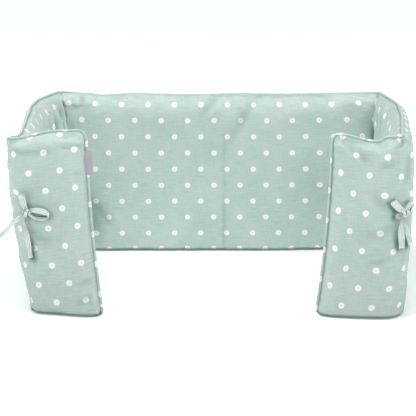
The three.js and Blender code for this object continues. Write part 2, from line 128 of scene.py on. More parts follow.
# ---- creases pressed into the pad's cloth ----
# face is 1 outside the C and -1 inside. The path's places are millimetres along the pad from the
# named fold or end, and up from the floor. A negative depth is a ridge. dark, from 0 to 1, is the
# painted shade inside a pleat that is sewn shut.
Crease = namedtuple("Crease", "face start path wide deep dark", defaults=(0,))
CREASES = [
    Crease(-1, "left back", [(296, 226), (297, 120), (296, 4)], 3.6, 1.1),
    Crease(-1, "left back", [(295, 106), (297, 50), (296, 4)], 3.6, 0.8),
    Crease(-1, "left back", [(283, 284), (255, 256)], 7, 2.4),
    Crease(-1, "left back", [(357, 284), (313, 230)], 8, 2.4),
    Crease(-1, "left back", [(338, 250), (293, 190)], 9, 1.3),
    Crease(-1, "left back", [(62, 96), (78, 66), (92, 44)], 8, 3.0),
    Crease(-1, "left back", [(36, 120), (54, 70), (64, 24)], 16, 5.0),
    Crease(-1, "left back", [(39, 286), (40, 266)], 4.5, 3.8),
    Crease(-1, "left back", [(24, 284), (30, 262)], 5, 2.6),
    Crease(-1, "left back", [(15, 280), (18, 262)], 4, 2.0),
    Crease(-1, "left back", [(6, 266), (7, 250), (9, 220), (9, 90), (8, 10)], 1.4, 3.0, 0.45),
    Crease(-1, "left back", [(-3, 295), (1, 284)], 1.4, 1.6, 0.4),
    Crease(-1, "left back", [(1.5, 288), (1.2, 272), (1, 250)], 2.0, 2.8, 1.0),
    Crease(-1, "left back", [(1, 258), (2, 242), (4, 214)], 1.4, 3.0, 0.4),
    Crease(-1, "left back", [(1, 215), (0, 150), (0, 10)], 2.0, 5.0),
    Crease(-1, "left back", [(-7, 286), (-5, 262), (-5, 216)], 2.8, -3.6),
    Crease(-1, "left back", [(-16, 284), (-14, 240), (-17, 180)], 4.5, 5.5),
    Crease(-1, "left back", [(-36, 276), (-32, 230), (-35, 170)], 6, 5.5),
    Crease(-1, "left back", [(-62, 262), (-58, 210)], 7, 5.0),
    Crease(-1, "left back", [(-96, 256), (-90, 210)], 7, 3.4),
    Crease(-1, "right back", [(5, 295), (1, 284), (-3, 272)], 1.5, 2.6, 0.6),
    Crease(-1, "right back", [(-3, 276), (-4.5, 262), (-4, 248)], 1.5, 3.0, 1.0),
    Crease(-1, "right back", [(-3, 246), (-1, 228), (1, 200), (0, 10)], 1.4, 5.0, 0.8),
    Crease(-1, "right back", [(-12, 242), (-11, 215), (-10, 120)], 11, 6.0, 0.6),
    Crease(-1, "right back", [(10, 285), (20, 278)], 3, 2.4),
    Crease(-1, "right back", [(18, 290), (34, 281)], 3, 2.2),
    Crease(-1, "right back", [(6, 280), (6, 240), (7, 206)], 3.6, -3.2),
    Crease(-1, "right back", [(15, 268), (16, 235), (14, 180)], 5, 5.2),
    Crease(-1, "right back", [(33, 268), (36, 226)], 6, 3.6),
    Crease(-1, "right back", [(60, 264), (62, 225)], 7, 3.4),
    Crease(-1, "right back", [(92, 264), (90, 225)], 7, 3.4),
    Crease(1, "left end", [(0, 270), (14, 270), (36, 268)], 1.7, 1.8, 0.12),
    Crease(1, "left end", [(2, 230), (20, 227)], 4, 1.8),
    Crease(1, "left end", [(3, 60), (24, 52)], 5, 2.0),
    Crease(1, "left end", [(3, 36), (30, 22)], 6, 2.2),
    Crease(1, "left end", [(2, 24), (16, 21)], 2.6, 1.6),
    Crease(1, "left end", [(2, 14), (18, 10)], 2.6, 1.6),
    Crease(1, "left front", [(-2, 262), (-26, 259), (-70, 262)], 5, 1.8),
    Crease(1, "left front", [(-4, 150), (-34, 128), (-60, 118)], 9, 2.2),
    Crease(1, "left front", [(-2, 176), (-30, 196)], 8, 1.8),
    Crease(1, "right end", [(-12, 288), (-24, 268)], 4, 2.4),
    Crease(1, "right end", [(-24, 284), (-34, 262)], 4, 2.2),
    Crease(1, "right end", [(-34, 274), (-60, 250)], 7, 2.4),
    Crease(1, "right front", [(-7, 285), (1, 278), (13, 273)], 1.8, 2.6, 0.3),
    Crease(1, "right front", [(3, 288), (-2, 279)], 1.8, 2.6, 0.15),
    Crease(1, "right front", [(-3, 288), (-8, 275)], 2.0, 3.0, 0.15),
    Crease(1, "right front", [(-9, 287), (-13, 272)], 2.2, 2.6, 0.1),
    Crease(1, "right front", [(2, 256), (14, 247), (36, 246)], 5, 1.8),
    Crease(1, "right front", [(-6, 262), (-2, 240), (-3, 216)], 4, 2.6),
    Crease(1, "right front", [(0, 170), (20, 182), (40, 206)], 8, 1.6),
    Crease(1, "right front", [(2, 158), (24, 140), (50, 134)], 8, 1.8),
    Crease(1, "right front", [(14, 97), (38, 90)], 5, 1.4),
    Crease(1, "right front", [(0, 150), (0, 128), (0, 108)], 1.9, 3.4),
    Crease(1, "left back", [(0, 282), (0, 120), (0, 10)], 2.4, 2.6),
    Crease(1, "right back", [(0, 282), (0, 120), (0, 10)], 2.4, 2.6),
    Crease(-1, "left front", [(0, 268), (0, 120), (0, 10)], 2.4, 2.0),
    Crease(-1, "right front", [(0, 280), (0, 120), (0, 10)], 2.4, 2.0),
]
CREASE_DARK = 10.0  # a crease this deep gets the full painted shade, as dark as that painted in the crevice under the pad
SEAM_DARK, SEAM_SHARE = 0.9, 0.5  # reach and strength of the painted shade beside the piping, on the pad
LEFT_EDGE_SHARE, OUTSIDE_SHARE = 0.4, 0.15  # share of the painted seam shade at the left free edge, which lies open, and on the outsides, which do too
PIPING_DARK = 0.45  # reach of the same painted shade round the piping, in radians from the seam
FOOT_DARK = 5.5  # how high the painted shade of the crevice at the floor reaches up the pad
CREASE_BANK = 0.3  # height of the soft banks beside a crease, as a share of its depth
PUCKER_EVERY, PUCKER_DEEP, PUCKER_REACH = 14.0, 0.45, 15.0  # short gathers off the piped seam
SWAY_WIDE, SWAY_DEEP = 66.0, 1.5  # slow swells of the filling
CRUMPLE_WIDE, CRUMPLE_DEEP = 19.0, 0.32  # small unevenness of the cloth
RUCHE_EVERY, RUCHE_DEEP = 13.0, 1.3  # upright gathers outside the right side's top

# ---- piping, label tab and ties ----
PIPING_SPACING = 3.6
PIPING_SIDES = 14
PIPING_DOT_START = 8.0
PIPING_DOT_SLIP = 17.0  # how far the strip's dots have slipped by the left flap
PIPING_BACK_LEAN, PIPING_BACK_DROP = 3.2, 1.4  # along the back's top the piping rolls outwards
PIPING_NECK = 2.4  # how far the piping's covering reaches down into the seam
TIE_WIDTH = 10.0
TIE_THICK = 1.2
KNOT_SIZE = (13.0, 9.0, 12.0)  # across, deep, high
LABEL_NEAR, LABEL_WIDTH = -2.4, 11.4  # where the tape leaves the seam, and where it is folded
LABEL_HEIGHT, LABEL_FOOT = 38.0, 224.0
LABEL_AHEAD = 3.9  # in front of the seam, clear of the piping
TAPE_THICK = 0.45

# A tie's route from the middle of its knot, in millimetres: right, out towards the door side, and
# up. wide is the share of the tie's full width and lean the turn of the width from lying flat.
Step = namedtuple("Step", "right out up wide lean")
LEFT_KNOT = (-286.5, -384.0, 167.5)
RIGHT_KNOT = (305.0, -410.0, 172.5)
LEFT_UPPER_LOOP = [
    Step(-1, 1, 2, 0.45, 0),
    Step(-2, 3.5, 8, 0.75, 10),
    Step(-4.5, 6, 16, 0.95, 15),
    Step(-7, 5.5, 24.5, 1, 20),
    Step(-7, 1.5, 26, 1, 20),
    Step(-5, -2, 20, 0.9, 15),
    Step(-2.5, -2, 9, 0.7, 10),
    Step(-1, -1, 2, 0.4, 0),
]
LEFT_DOWN_TAIL = [
    Step(-1.5, 1, -3, 0.4, 0),
    Step(-4, 1.5, -12, 0.34, 20),
    Step(-3, 1.5, -24, 0.5, 15),
    Step(-0.5, 1.5, -38, 0.8, 5),
    Step(2, 2, -54, 0.85, 0),
    Step(3.8, 2, -66, 0.7, 0),
    Step(5, 2, -73, 0.75, 0),
]
LEFT_THREADED = [
    Step(-52, -9, -50, 0.75, 60),
    Step(-43, -9, -41, 0.85, 56),
    Step(-31, -8, -28, 0.95, 46),
    Step(-20, -2, -15, 0.85, 30),
    Step(-10, 2, -7.5, 0.65, 10),
    Step(-3, 1, -3, 0.5, 0),
    Step(4, 1, 0.5, 0.5, -10),
    Step(11, 4, 4.5, 0.8, -30),
    Step(22, 6.5, 4, 1, -38),
    Step(31.5, 7, 0.5, 1, -60),
    Step(34.5, 6.5, -3, 0.95, -90),
    Step(30.5, 6, -7.5, 1, -122),
    Step(21, 5, -8.5, 1, -130),
    Step(12, 3, -7, 0.75, -130),
    Step(5, 1, -3.5, 0.5, -120),
]
RIGHT_UPPER_LOOP = [
    Step(-2, 1, 2, 0.5, 0),
    Step(-6, 4.5, 5, 0.85, 0),
    Step(-11.5, 7.5, 10.5, 1.1, 0),
    Step(-16.5, 8, 15.5, 1.15, 0),
    Step(-17, 4, 16.5, 1.15, 0),
    Step(-12, 2.5, 10, 1, 0),
    Step(-7, 1, 5, 0.7, 0),
    Step(-2, -1, 2, 0.4, 0),
]
RIGHT_DOWN_TAIL = [
    Step(-1, 2, -3, 0.4, 0),
    Step(-3.5, 3.5, -12, 0.5, 0),
    Step(-4.5, 3.5, -24, 0.85, -6),
    Step(-4, 2.5, -38, 1, -8),
    Step(-3, 2, -48, 0.95, -8),
    Step(-2.5, 2, -57, 0.9, -8),
]
RIGHT_THREADED = [
    Step(9, 2, 3, 0.5, 60),
    Step(11, 1, 7, 0.7, 66),
    Step(14.5, -2, 11.5, 0.9, 70),
    Step(12.5, -2, 14, 0.9, 70),
    Step(7, 1, 11, 0.8, 40),
    Step(3, 3, 6, 0.6, 10),
    Step(0, 2, 0, 0.45, 0),
    Step(-5.5, 2, -2, 0.45, 0),
    Step(-10.5, 3.5, -3, 0.55, 0),
    Step(-11.5, 4, -6.5, 0.5, 0),
    Step(-6, 3, -9.5, 0.45, 0),
    Step(0, 0.5, -15, 0.55, -20),
    Step(5, -3, -28, 0.85, -30),
    Step(9.5, -7, -42, 0.95, -34),
    Step(13, -11, -54, 0.95, -36),
]
TIE_CLEAR = 0.8  # about how far the ties lie off the pad's cloth, and a little less at a few points
KNOT_AHEAD = 2.5  # the knots' lumps sit in front of their strips
# How far right and up of a tie its painted shade lies, at the left bow (1) and the right bow (-1).
SHADE_FALL = {1: (2.6, -3.4), -1: (-3.2, -2.0)}
SHADE_REACH, SHADE_SHARE = 4.2, 0.8
BOWS_OUT_FROM, BOWS_BEHIND = 200.0, -120.0  # the bows lie farther out than this, and nearer the door
BOWS_LOW, BOWS_HIGH = 60.0, 230.0
PLEAT_SHADE, LOOP_SHADE = 0.5, 1.0  # how much painted shade a tie's pleats and the insides of its loops get

# ---- printed dots ----
DOT_PITCH = 48.0  # along a row
DOT_ROWS = 29.96  # from row to row, each second row moved on by half a pitch
DOT_ROUND = 4.95
LEFT_PLEATS = ((0, 4, -19), (14, 24, 31))  # where the left side's cloth is folded away, and how much
SIDE_GATHER = 1.08  # and the left side's cloth is gathered by this much
SIDE_SINK = 0.04  # while the right side's rows sink towards the door
BACK_SAG, BACK_PULL = 0.8, 4.0  # how far the back's cloth hangs, and is pulled left at its right end

# Where one dot lies on each panel's cloth, in the plan's millimetres, and how the cloth is turned.
# skew is how much more its rows are turned than its columns.
Panel = namedtuple("Panel", "x y z yaw lean roll skew")
PANELS = {
    "left flap": Panel(-258.0, -369.4, 260.2, -3.5, -5.0, 4.7, 1.8),
    "right flap": Panel(227.8, -399.9, 261.6, -8.1, -2.7, -4.0, 1.8),
    "back": Panel(-197.1, 0, 275.3, 0, 0, 0, 0),
}


# ---- small helpers ----
def mix(a, b, t):
    return a + (b - a) * t


def smooth(t):
    t = np.clip(t, 0, 1)
    return t * t * (3 - 2 * t)


def unit(v):
    return v / np.maximum(np.linalg.norm(v, axis=-1, keepdims=True), 1e-12)


def to_part(points):
    """Points in the plan's millimetres, as metres in the part's frame."""
    return (np.asarray(points, float) - (*PLAN_ZERO, 0)) * MM


def ripple(points, size, seed):
    """Smooth noise from -1 to 1 at points, with bumps about size across."""
    return np.array([noise.noise(Vector(p) / size + Vector((seed, 0, 0))) for p in points])


# ---- the line that the pad follows ----
def walk_level(spots, spans):
    """One level of the plan as points: a soft turn at each corner and straights between."""
    enter, leave = [s.copy() for s in spots], [s.copy() for s in spots]
    for i in range(1, len(spots) - 1):
        into, out = unit(spots[i] - spots[i - 1]), unit(spots[i + 1] - spots[i])
        reach = PLAN[i].bend * math.tan(math.acos(np.clip(into @ out, -1, 1)) / 2)
        enter[i], leave[i] = spots[i] - into * reach, spots[i] + out * reach
    walked = []
    for i, corner in enumerate(PLAN):
        for t in np.linspace(0, 1, TURN_POINTS[corner.kind]):
            walked.append(mix(mix(enter[i], spots[i], t), mix(spots[i], leave[i], t), t))
        if i < len(spots) - 1:
            for k in range(1, spans[i]):
                walked.append(mix(leave[i], enter[i + 1], k / spans[i]))
    return np.array(walked)


def walk_seam():
    """The seam from the left free edge to the right one, as columns that share one length."""
    tops = [np.array([c.x, c.y], float) for c in PLAN]
    feet = [np.array([c.foot_x, c.foot_y], float) for c in PLAN]
    spans = [
        max(2, round(np.linalg.norm(b - a) / RUN_SPACING)) for a, b in zip(tops, tops[1:])
    ]
    height, sway, fold = [], [], []
    for i, corner in enumerate(PLAN):
        steps = TURN_POINTS[corner.kind]
        height += [corner.top] * steps
        sway += [corner.sway] * steps
        fold += [corner.kind == "fold" and k == steps // 2 for k in range(steps)]
        if i < len(PLAN) - 1:
            between = smooth(np.arange(1, spans[i]) / spans[i])
            height += list(mix(corner.top, PLAN[i + 1].top, between))
            sway += list(mix(corner.sway, PLAN[i + 1].sway, between))
            fold += [False] * (spans[i] - 1)
    top, foot = walk_level(tops, spans), walk_level(feet, spans)
    steps = [np.linalg.norm(np.diff(level, axis=0), axis=1) for level in (top, foot)]
    along = np.concatenate([[0], np.cumsum((steps[0] + steps[1]) / 2)])
    return {
        "along": along,
        "top": top,
        "foot": foot,
        "height": np.array(height, float),
        "sway": np.array(sway, float),
        "folds": along[np.array(fold)],
    }


SEAM = walk_seam()
TOTAL = SEAM["along"][-1]
FOLDS = dict(zip(("left front", "left back", "right back", "right front"), SEAM["folds"]))


def stations_at(along):
    """The seam's columns at any distances along it. Past either end the last stretch runs on."""
    along = np.asarray(along, float)
    inside = np.clip(along, 0, TOTAL)
    found = {"along": along, "inset": np.clip(np.minimum(along, TOTAL - along), 0, None)}
    for name in ("height", "sway"):
        found[name] = np.interp(inside, SEAM["along"], SEAM[name])
    for name in ("top", "foot"):
        line = SEAM[name]
        spot = np.stack([np.interp(inside, SEAM["along"], line[:, k]) for k in (0, 1)], -1)
        first, last = unit(line[1] - line[0]), unit(line[-1] - line[-2])
        before = np.clip(-along, 0, None)[..., None]
        after = np.clip(along - TOTAL, 0, None)[..., None]
        found[name] = spot - first * before + last * after
    ahead, behind = np.clip(inside + 3, 0, TOTAL), np.clip(inside - 3, 0, TOTAL)
    forward = 0
    for name in ("top", "foot"):
        line = SEAM[name]
        a, b = (
            np.stack([np.interp(at, SEAM["along"], line[:, k]) for k in (0, 1)], -1)
            for at in (behind, ahead)
        )
        forward = forward + unit(b - a)
    forward = unit(forward)
    found["out"] = np.stack([-forward[..., 1], forward[..., 0]], -1)
    return found


def pad_point(st, height, offset):
    """A point on a station's leaning line at a height, moved out from the seam, in plan mm."""
    share = height / st["height"]
    sway = st["sway"] * 4 * share * (1 - share)
    flat = mix(st["foot"], st["top"], share[..., None]) + st["out"] * offset[..., None]
    return np.stack([flat[..., 0] + sway, flat[..., 1], height], -1)


def corner_rise(radius, inset):
    inside = np.clip(radius - inset, 0, None)
    return radius - np.sqrt(np.clip(radius**2 - inside**2, 0, None))


def edge_heights(st):
    """Floor, groove roof and seam height at each station, rounded off at the free edges."""
    inset = st["inset"]
    rise = corner_rise(FOOT_CORNER, inset)
    lip = corner_rise(FOOT_CORNER + GROOVE_TOP, inset * (1 + GROOVE_TOP / FOOT_CORNER))
    floor = np.where(inset < FOOT_CORNER, lip, 0)
    return floor, GROOVE_TOP + rise, st["height"] - corner_rise(CORNER_ROUND, inset)


def behind(along):
    """1 on the back and sides, 0 on the front flaps."""
    return smooth((along - FOLDS["left front"]) / 40) * smooth((FOLDS["right front"] - along) / 40)


def beside(along):
    """1 on the two sides, 0 on the back and the front flaps."""
    from_left = smooth((FOLDS["left back"] - 8 - along) / 30)
    return behind(along) * np.maximum(from_left, smooth((along - FOLDS["right back"] - 8) / 30))


def fullness(up, down, rounded):
    """Share of the half thickness at a distance up from the floor and down from the seam."""
    settled = 1 - np.exp(-np.clip(down - BEVEL, 0, None) / BEVEL)
    sloped = BEVEL_FULL * (0.1 + 0.9 * np.clip(down / BEVEL, 0, 1)) + (1 - BEVEL_FULL) * settled
    full_round = np.sqrt(1 - np.clip(1 - down / OUTER_ROUND, 0, 1) ** 2)
    foot = FOOT_FULL + (1 - FOOT_FULL) * (1 - np.clip(1 - up / FOOT_ROUND, 0, 1) ** 2) ** 0.8
    belly = 1 + BELLY * np.sin(np.pi * np.clip(up / (up + down), 0, 1)) ** 2
    return np.minimum(mix(sloped, full_round, rounded), foot) * belly


def fold_pinch(along, face, up):
    """Share of the half thickness that the stitched folds take from a face."""
    lost = np.zeros(np.broadcast(along, up).shape)
    for name, at in FOLDS.items():
        pinch = FOLD_SHAPES[name][face]
        reach = np.where(along < at, pinch.to_left, pinch.to_right)
        tied = np.exp(-(((up - TIE_HEIGHT) / TIE_REACH) ** 2))
        drawn = pinch.slack + (1 - pinch.slack) * tied
        lost = lost + pinch.share * drawn * np.exp(-(((along - at) / reach) ** 2))
    if face > 0:
        for outer, start, stop in (
            (LEFT_SIDE_OUTER, "left front", "left back"),
            (RIGHT_SIDE_OUTER, "right back", "right front"),
        ):
            side = smooth((along - FOLDS[start]) / 60) * smooth((FOLDS[stop] - along) / 60)
            lost = np.maximum(lost, (1 - outer) * side)
    return lost


# ---- the pad's grid of points ----
def station_places():
    """Distances along the pad: even on the runs, closer beside the folds and at the free edges."""
    places = list(EDGE_STATIONS) + [TOTAL - s for s in EDGE_STATIONS]
    stops = [EDGE_STATIONS[-1]]
    for at in FOLDS.values():
        near = np.arange(-FOLD_REACH, FOLD_REACH + 0.1, FOLD_SPACING)
        places += list(at + near)
        stops += [at - FOLD_REACH, at + FOLD_REACH]
    stops.append(TOTAL - EDGE_STATIONS[-1])
    for a, b in zip(stops[::2], stops[1::2]):
        count = max(2, round((b - a) / STATION_SPACING))
        places += list(np.linspace(a, b, count + 1)[1:-1])
    return np.array(sorted(places))


def side_rows(st, face):
    """One face of the pad at every station: heights, offsets from the seam, and the rows' names
    as shares, 0 on the floor and 1 at the seam."""
    floor, _, seam = (h[:, None] for h in edge_heights(st))
    tall = float(np.median(st["height"]))
    middle = np.arange(FOOT_ROWS[-1] + ROW_SPACING, tall - HEAD_ROWS[0] - 3, ROW_SPACING)
    shares = np.array([*FOOT_ROWS, *middle, *[tall - d for d in HEAD_ROWS]]) / tall
    up = shares[None, :] * tall
    down = tall - up
    heights = mix(floor, seam, shares[None, :]) + FOOT_LIFT * np.exp(-up / 4)
    open_edge = np.clip(EDGE_TAPER - st["inset"], 0, None) / EDGE_TAPER
    taper = np.sqrt(np.clip(1 - open_edge**2, 0, None))[:, None]
    half = PAD_HALF * (1 - fold_pinch(st["along"][:, None], face, up))
    rounded = (behind(st["along"]) if face > 0 else beside(st["along"]))[:, None]
    full = fullness(up, down, rounded) * half
    offsets = GROOVE_HALF + np.clip(full - GROOVE_HALF, 0.4, None) * taper
    return heights, offsets, shares


def pad_grid(places):
    """The pad's rings of points, one to a station, with what each point is.

    Each ring runs from the middle of the groove under the pad out over the outer lip, up the
    outer face, over the seam and down the inner face back to the groove."""
    st = stations_at(places)
    floor, groove, seam = edge_heights(st)
    heights, outer, shares = side_rows(st, 1)
    inner = side_rows(st, -1)[1]
    n = len(places)
    lip = floor + 1.0 + FOOT_LIFT
    foot = [(groove, 1.0), (groove, GROOVE_HALF - 0.2), (lip, GROOVE_HALF - 0.1)]
    head = [(seam - 0.3, LAND_HALF - 1.0), (seam - 1.2, 0.8)]
    up = np.stack([h for h, _ in foot] + list(heights.T) + [h for h, _ in head], 1)
    sides = []
    for offsets in (outer, inner):
        low, high = ([np.full(n, o) for _, o in rows] for rows in (foot, head))
        sides.append(np.stack([*low, *offsets.T, *high], 1))
    share = [-0.02, -0.01, -0.005, *shares, 1.001, 1.004]
    ring_up = np.concatenate([up, up[:, ::-1]], 1)
    ring_out = np.concatenate([sides[0], -sides[1][:, ::-1]], 1)
    ring_share = np.array([*share, *share[::-1]])
    face = np.array([1] * len(share) + [-1] * len(share))
    wide = {k: v[:, None] if v.ndim == 1 else v[:, None, :] for k, v in st.items()}
    points = pad_point(wide, ring_up, ring_out)
    return points, ring_share, face, st


# ---- meshes made from rings ----
def ring_faces(rings, count, loop=False):
    faces = []
    for i in range(rings if loop else rings - 1):
        here, following = i * count, ((i + 1) % rings) * count
        for k in range(count):
            after = (k + 1) % count
            faces.append((here + k, here + after, following + after, following + k))
    if not loop:
        end = (rings - 1) * count
        for k in range(count // 2 - 1):
            facing = count - 1 - k
            faces.append((k, facing, facing - 1, k + 1))
            faces.append((end + k, end + k + 1, end + facing - 1, end + facing))
    return faces


def new_piece(name, points, faces, material, shade_smooth=True):
    mesh = bpy.data.meshes.new(name)
    mesh.from_pydata([tuple(p) for p in points], [], faces)
    mesh.validate()
    mesh.update()
    mesh.polygons.foreach_set("use_smooth", [shade_smooth] * len(mesh.polygons))
    piece = bpy.data.objects.new(name, mesh)
    bpy.context.scene.collection.objects.link(piece)
    if material is not None:
        mesh.materials.append(material)
    return piece


def lay_pattern(piece, coordinates, painted_shade=0.0, frayed=0.0):
    """Writes the cloth's own flat coordinates, in metres, as the piece's UV map, and a second map
    that holds, from 0 to 1, the painted shade of each point, in a crease or a seam, and how frayed
    it is."""
    mesh = piece.data
    coordinates = np.asarray(coordinates) * MM
    shade_and_fray = np.stack([np.broadcast_to(v, len(coordinates)) for v in (painted_shade, frayed)], 1)
    corners = np.zeros(len(mesh.loops), np.int32)
    mesh.loops.foreach_get("vertex_index", corners)
    for name, values in (("cloth", coordinates), ("painted_shade", shade_and_fray)):
        mesh.uv_layers.new(name=name).data.foreach_set("uv", values[corners].ravel())


def finer(grid):
    """A grid of rings with a new ring and a new point between each two, smoothed as it goes."""

    def between(a, axis, closed):
        a = np.moveaxis(a, axis, 0)
        before = np.roll(a, 1, 0) if closed else np.concatenate([a[:1], a[:-1]])
        after = np.roll(a, -1, 0) if closed else np.concatenate([a[1:], a[-1:]])
        kept = (before + 6 * a + after) / 8
        if not closed:
            kept[0], kept[-1] = a[0], a[-1]
        new = (a + after) / 2
        out = np.empty((2 * len(a), *a.shape[1:]))
        out[0::2], out[1::2] = kept, new
        if not closed:
            out = out[:-1]
        return np.moveaxis(out, 0, axis)

    return between(between(grid, 0, False), 1, True)


def halfway(values, closed=False):
    """The values with a new one midway between each two."""
    after = np.roll(values, -1, 0)
    both = np.empty((2 * len(values), *values.shape[1:]))
    both[0::2], both[1::2] = values, (values + after) / 2
    return both if closed else both[:-1]


def grid_normals(grid):
    """Outward normals of a grid of rings."""
    ahead = np.empty_like(grid)
    ahead[1:-1] = grid[2:] - grid[:-2]
    ahead[0], ahead[-1] = grid[1] - grid[0], grid[-1] - grid[-2]
    round_ring = np.roll(grid, -1, 1) - np.roll(grid, 1, 1)
    return unit(np.cross(round_ring, ahead))


# ---- colours and materials ----
def linear(hex_colour):
    """An sRGB hex colour as linear red, green, blue and alpha."""
    parts = [int(hex_colour[i : i + 2], 16) / 255 for i in (1, 3, 5)]
    return (*[c / 12.92 if c <= 0.04045 else ((c + 0.055) / 1.055) ** 2.4 for c in parts], 1)


def add(tree, kind, links=None, **settings):
    """Adds a node to a material with its settings, and links inputs from other sockets."""
    node = tree.nodes.new(kind)
    inputs = settings.pop("inputs", {})
    for name, value in settings.items():
        setattr(node, name, value)
    for key, value in inputs.items():
        node.inputs[key].default_value = value
    for key, socket in (links or {}).items():
        tree.links.new(socket, node.inputs[key])
    return node


def bare_material(name, **principled):
    material = bpy.data.materials.new(name)
    material.use_nodes = True
    tree = material.node_tree
    shader = next(n for n in tree.nodes if n.type == "BSDF_PRINCIPLED")
    for key, value in principled.items():
        shader.inputs[key.replace("_", " ").title()].default_value = value
    return material, tree, shader


SAGE = "#c2d0cb"
SAGE_DEEP = "#afc3bc"
SAGE_SHADE = "#2f6254"  # painted shade colour, mixed into the cloth in creases, seams, pleats, at the foot and behind the ties
DOT_WHITE = "#f8f4f0"
DOT_MIDDLE = "#ecdfdc"
RAW_THREAD = "#fbf7ee"  # the white yarn that shows at a cut end
TIE_SAGE = "#f0f6f3"
TIE_DEEP = "#cfdcd7"
TAPE_GREY = "#b0adb3"
TAPE_GREY_DEEP = "#a9a6ae"
THREAD, TAPE_RIB = 0.9, 0.7  # millimetres from thread to thread, and from rib to rib


def cotton_weave(tree, cloth, thread):
    """Plain-weave threads as a height from 0 to 1: warp and weft passing over each other."""
    scaled = add(
        tree, "ShaderNodeVectorMath", {0: cloth}, operation="MULTIPLY",
        inputs={1: (math.pi / (thread * MM), math.pi / (thread * MM), 0)},
    )
    split = add(tree, "ShaderNodeSeparateXYZ", {0: scaled.outputs[0]})
    across = add(tree, "ShaderNodeMath", {0: split.outputs[0]}, operation="SINE")
    down = add(tree, "ShaderNodeMath", {0: split.outputs[1]}, operation="SINE")
    both = add(
        tree, "ShaderNodeMath", {0: across.outputs[0], 1: down.outputs[0]}, operation="MULTIPLY"
    )
    return add(
        tree, "ShaderNodeMapRange", {0: both.outputs[0]}, inputs={1: -1, 2: 1, 3: 0, 4: 1}
    ).outputs[0]


def slub(tree, cloth, stretch):
    """Uneven thread thickness: faint streaks drawn out along the threads."""
    laid = add(
        tree, "ShaderNodeMapping", {0: cloth}, inputs={3: (stretch[0] / MM, stretch[1] / MM, 1)}
    )
    return add(
        tree, "ShaderNodeTexNoise", {0: laid.outputs[0]},
        inputs={"Scale": 1.0, "Detail": 2.0, "Roughness": 0.6},
    ).outputs[0]


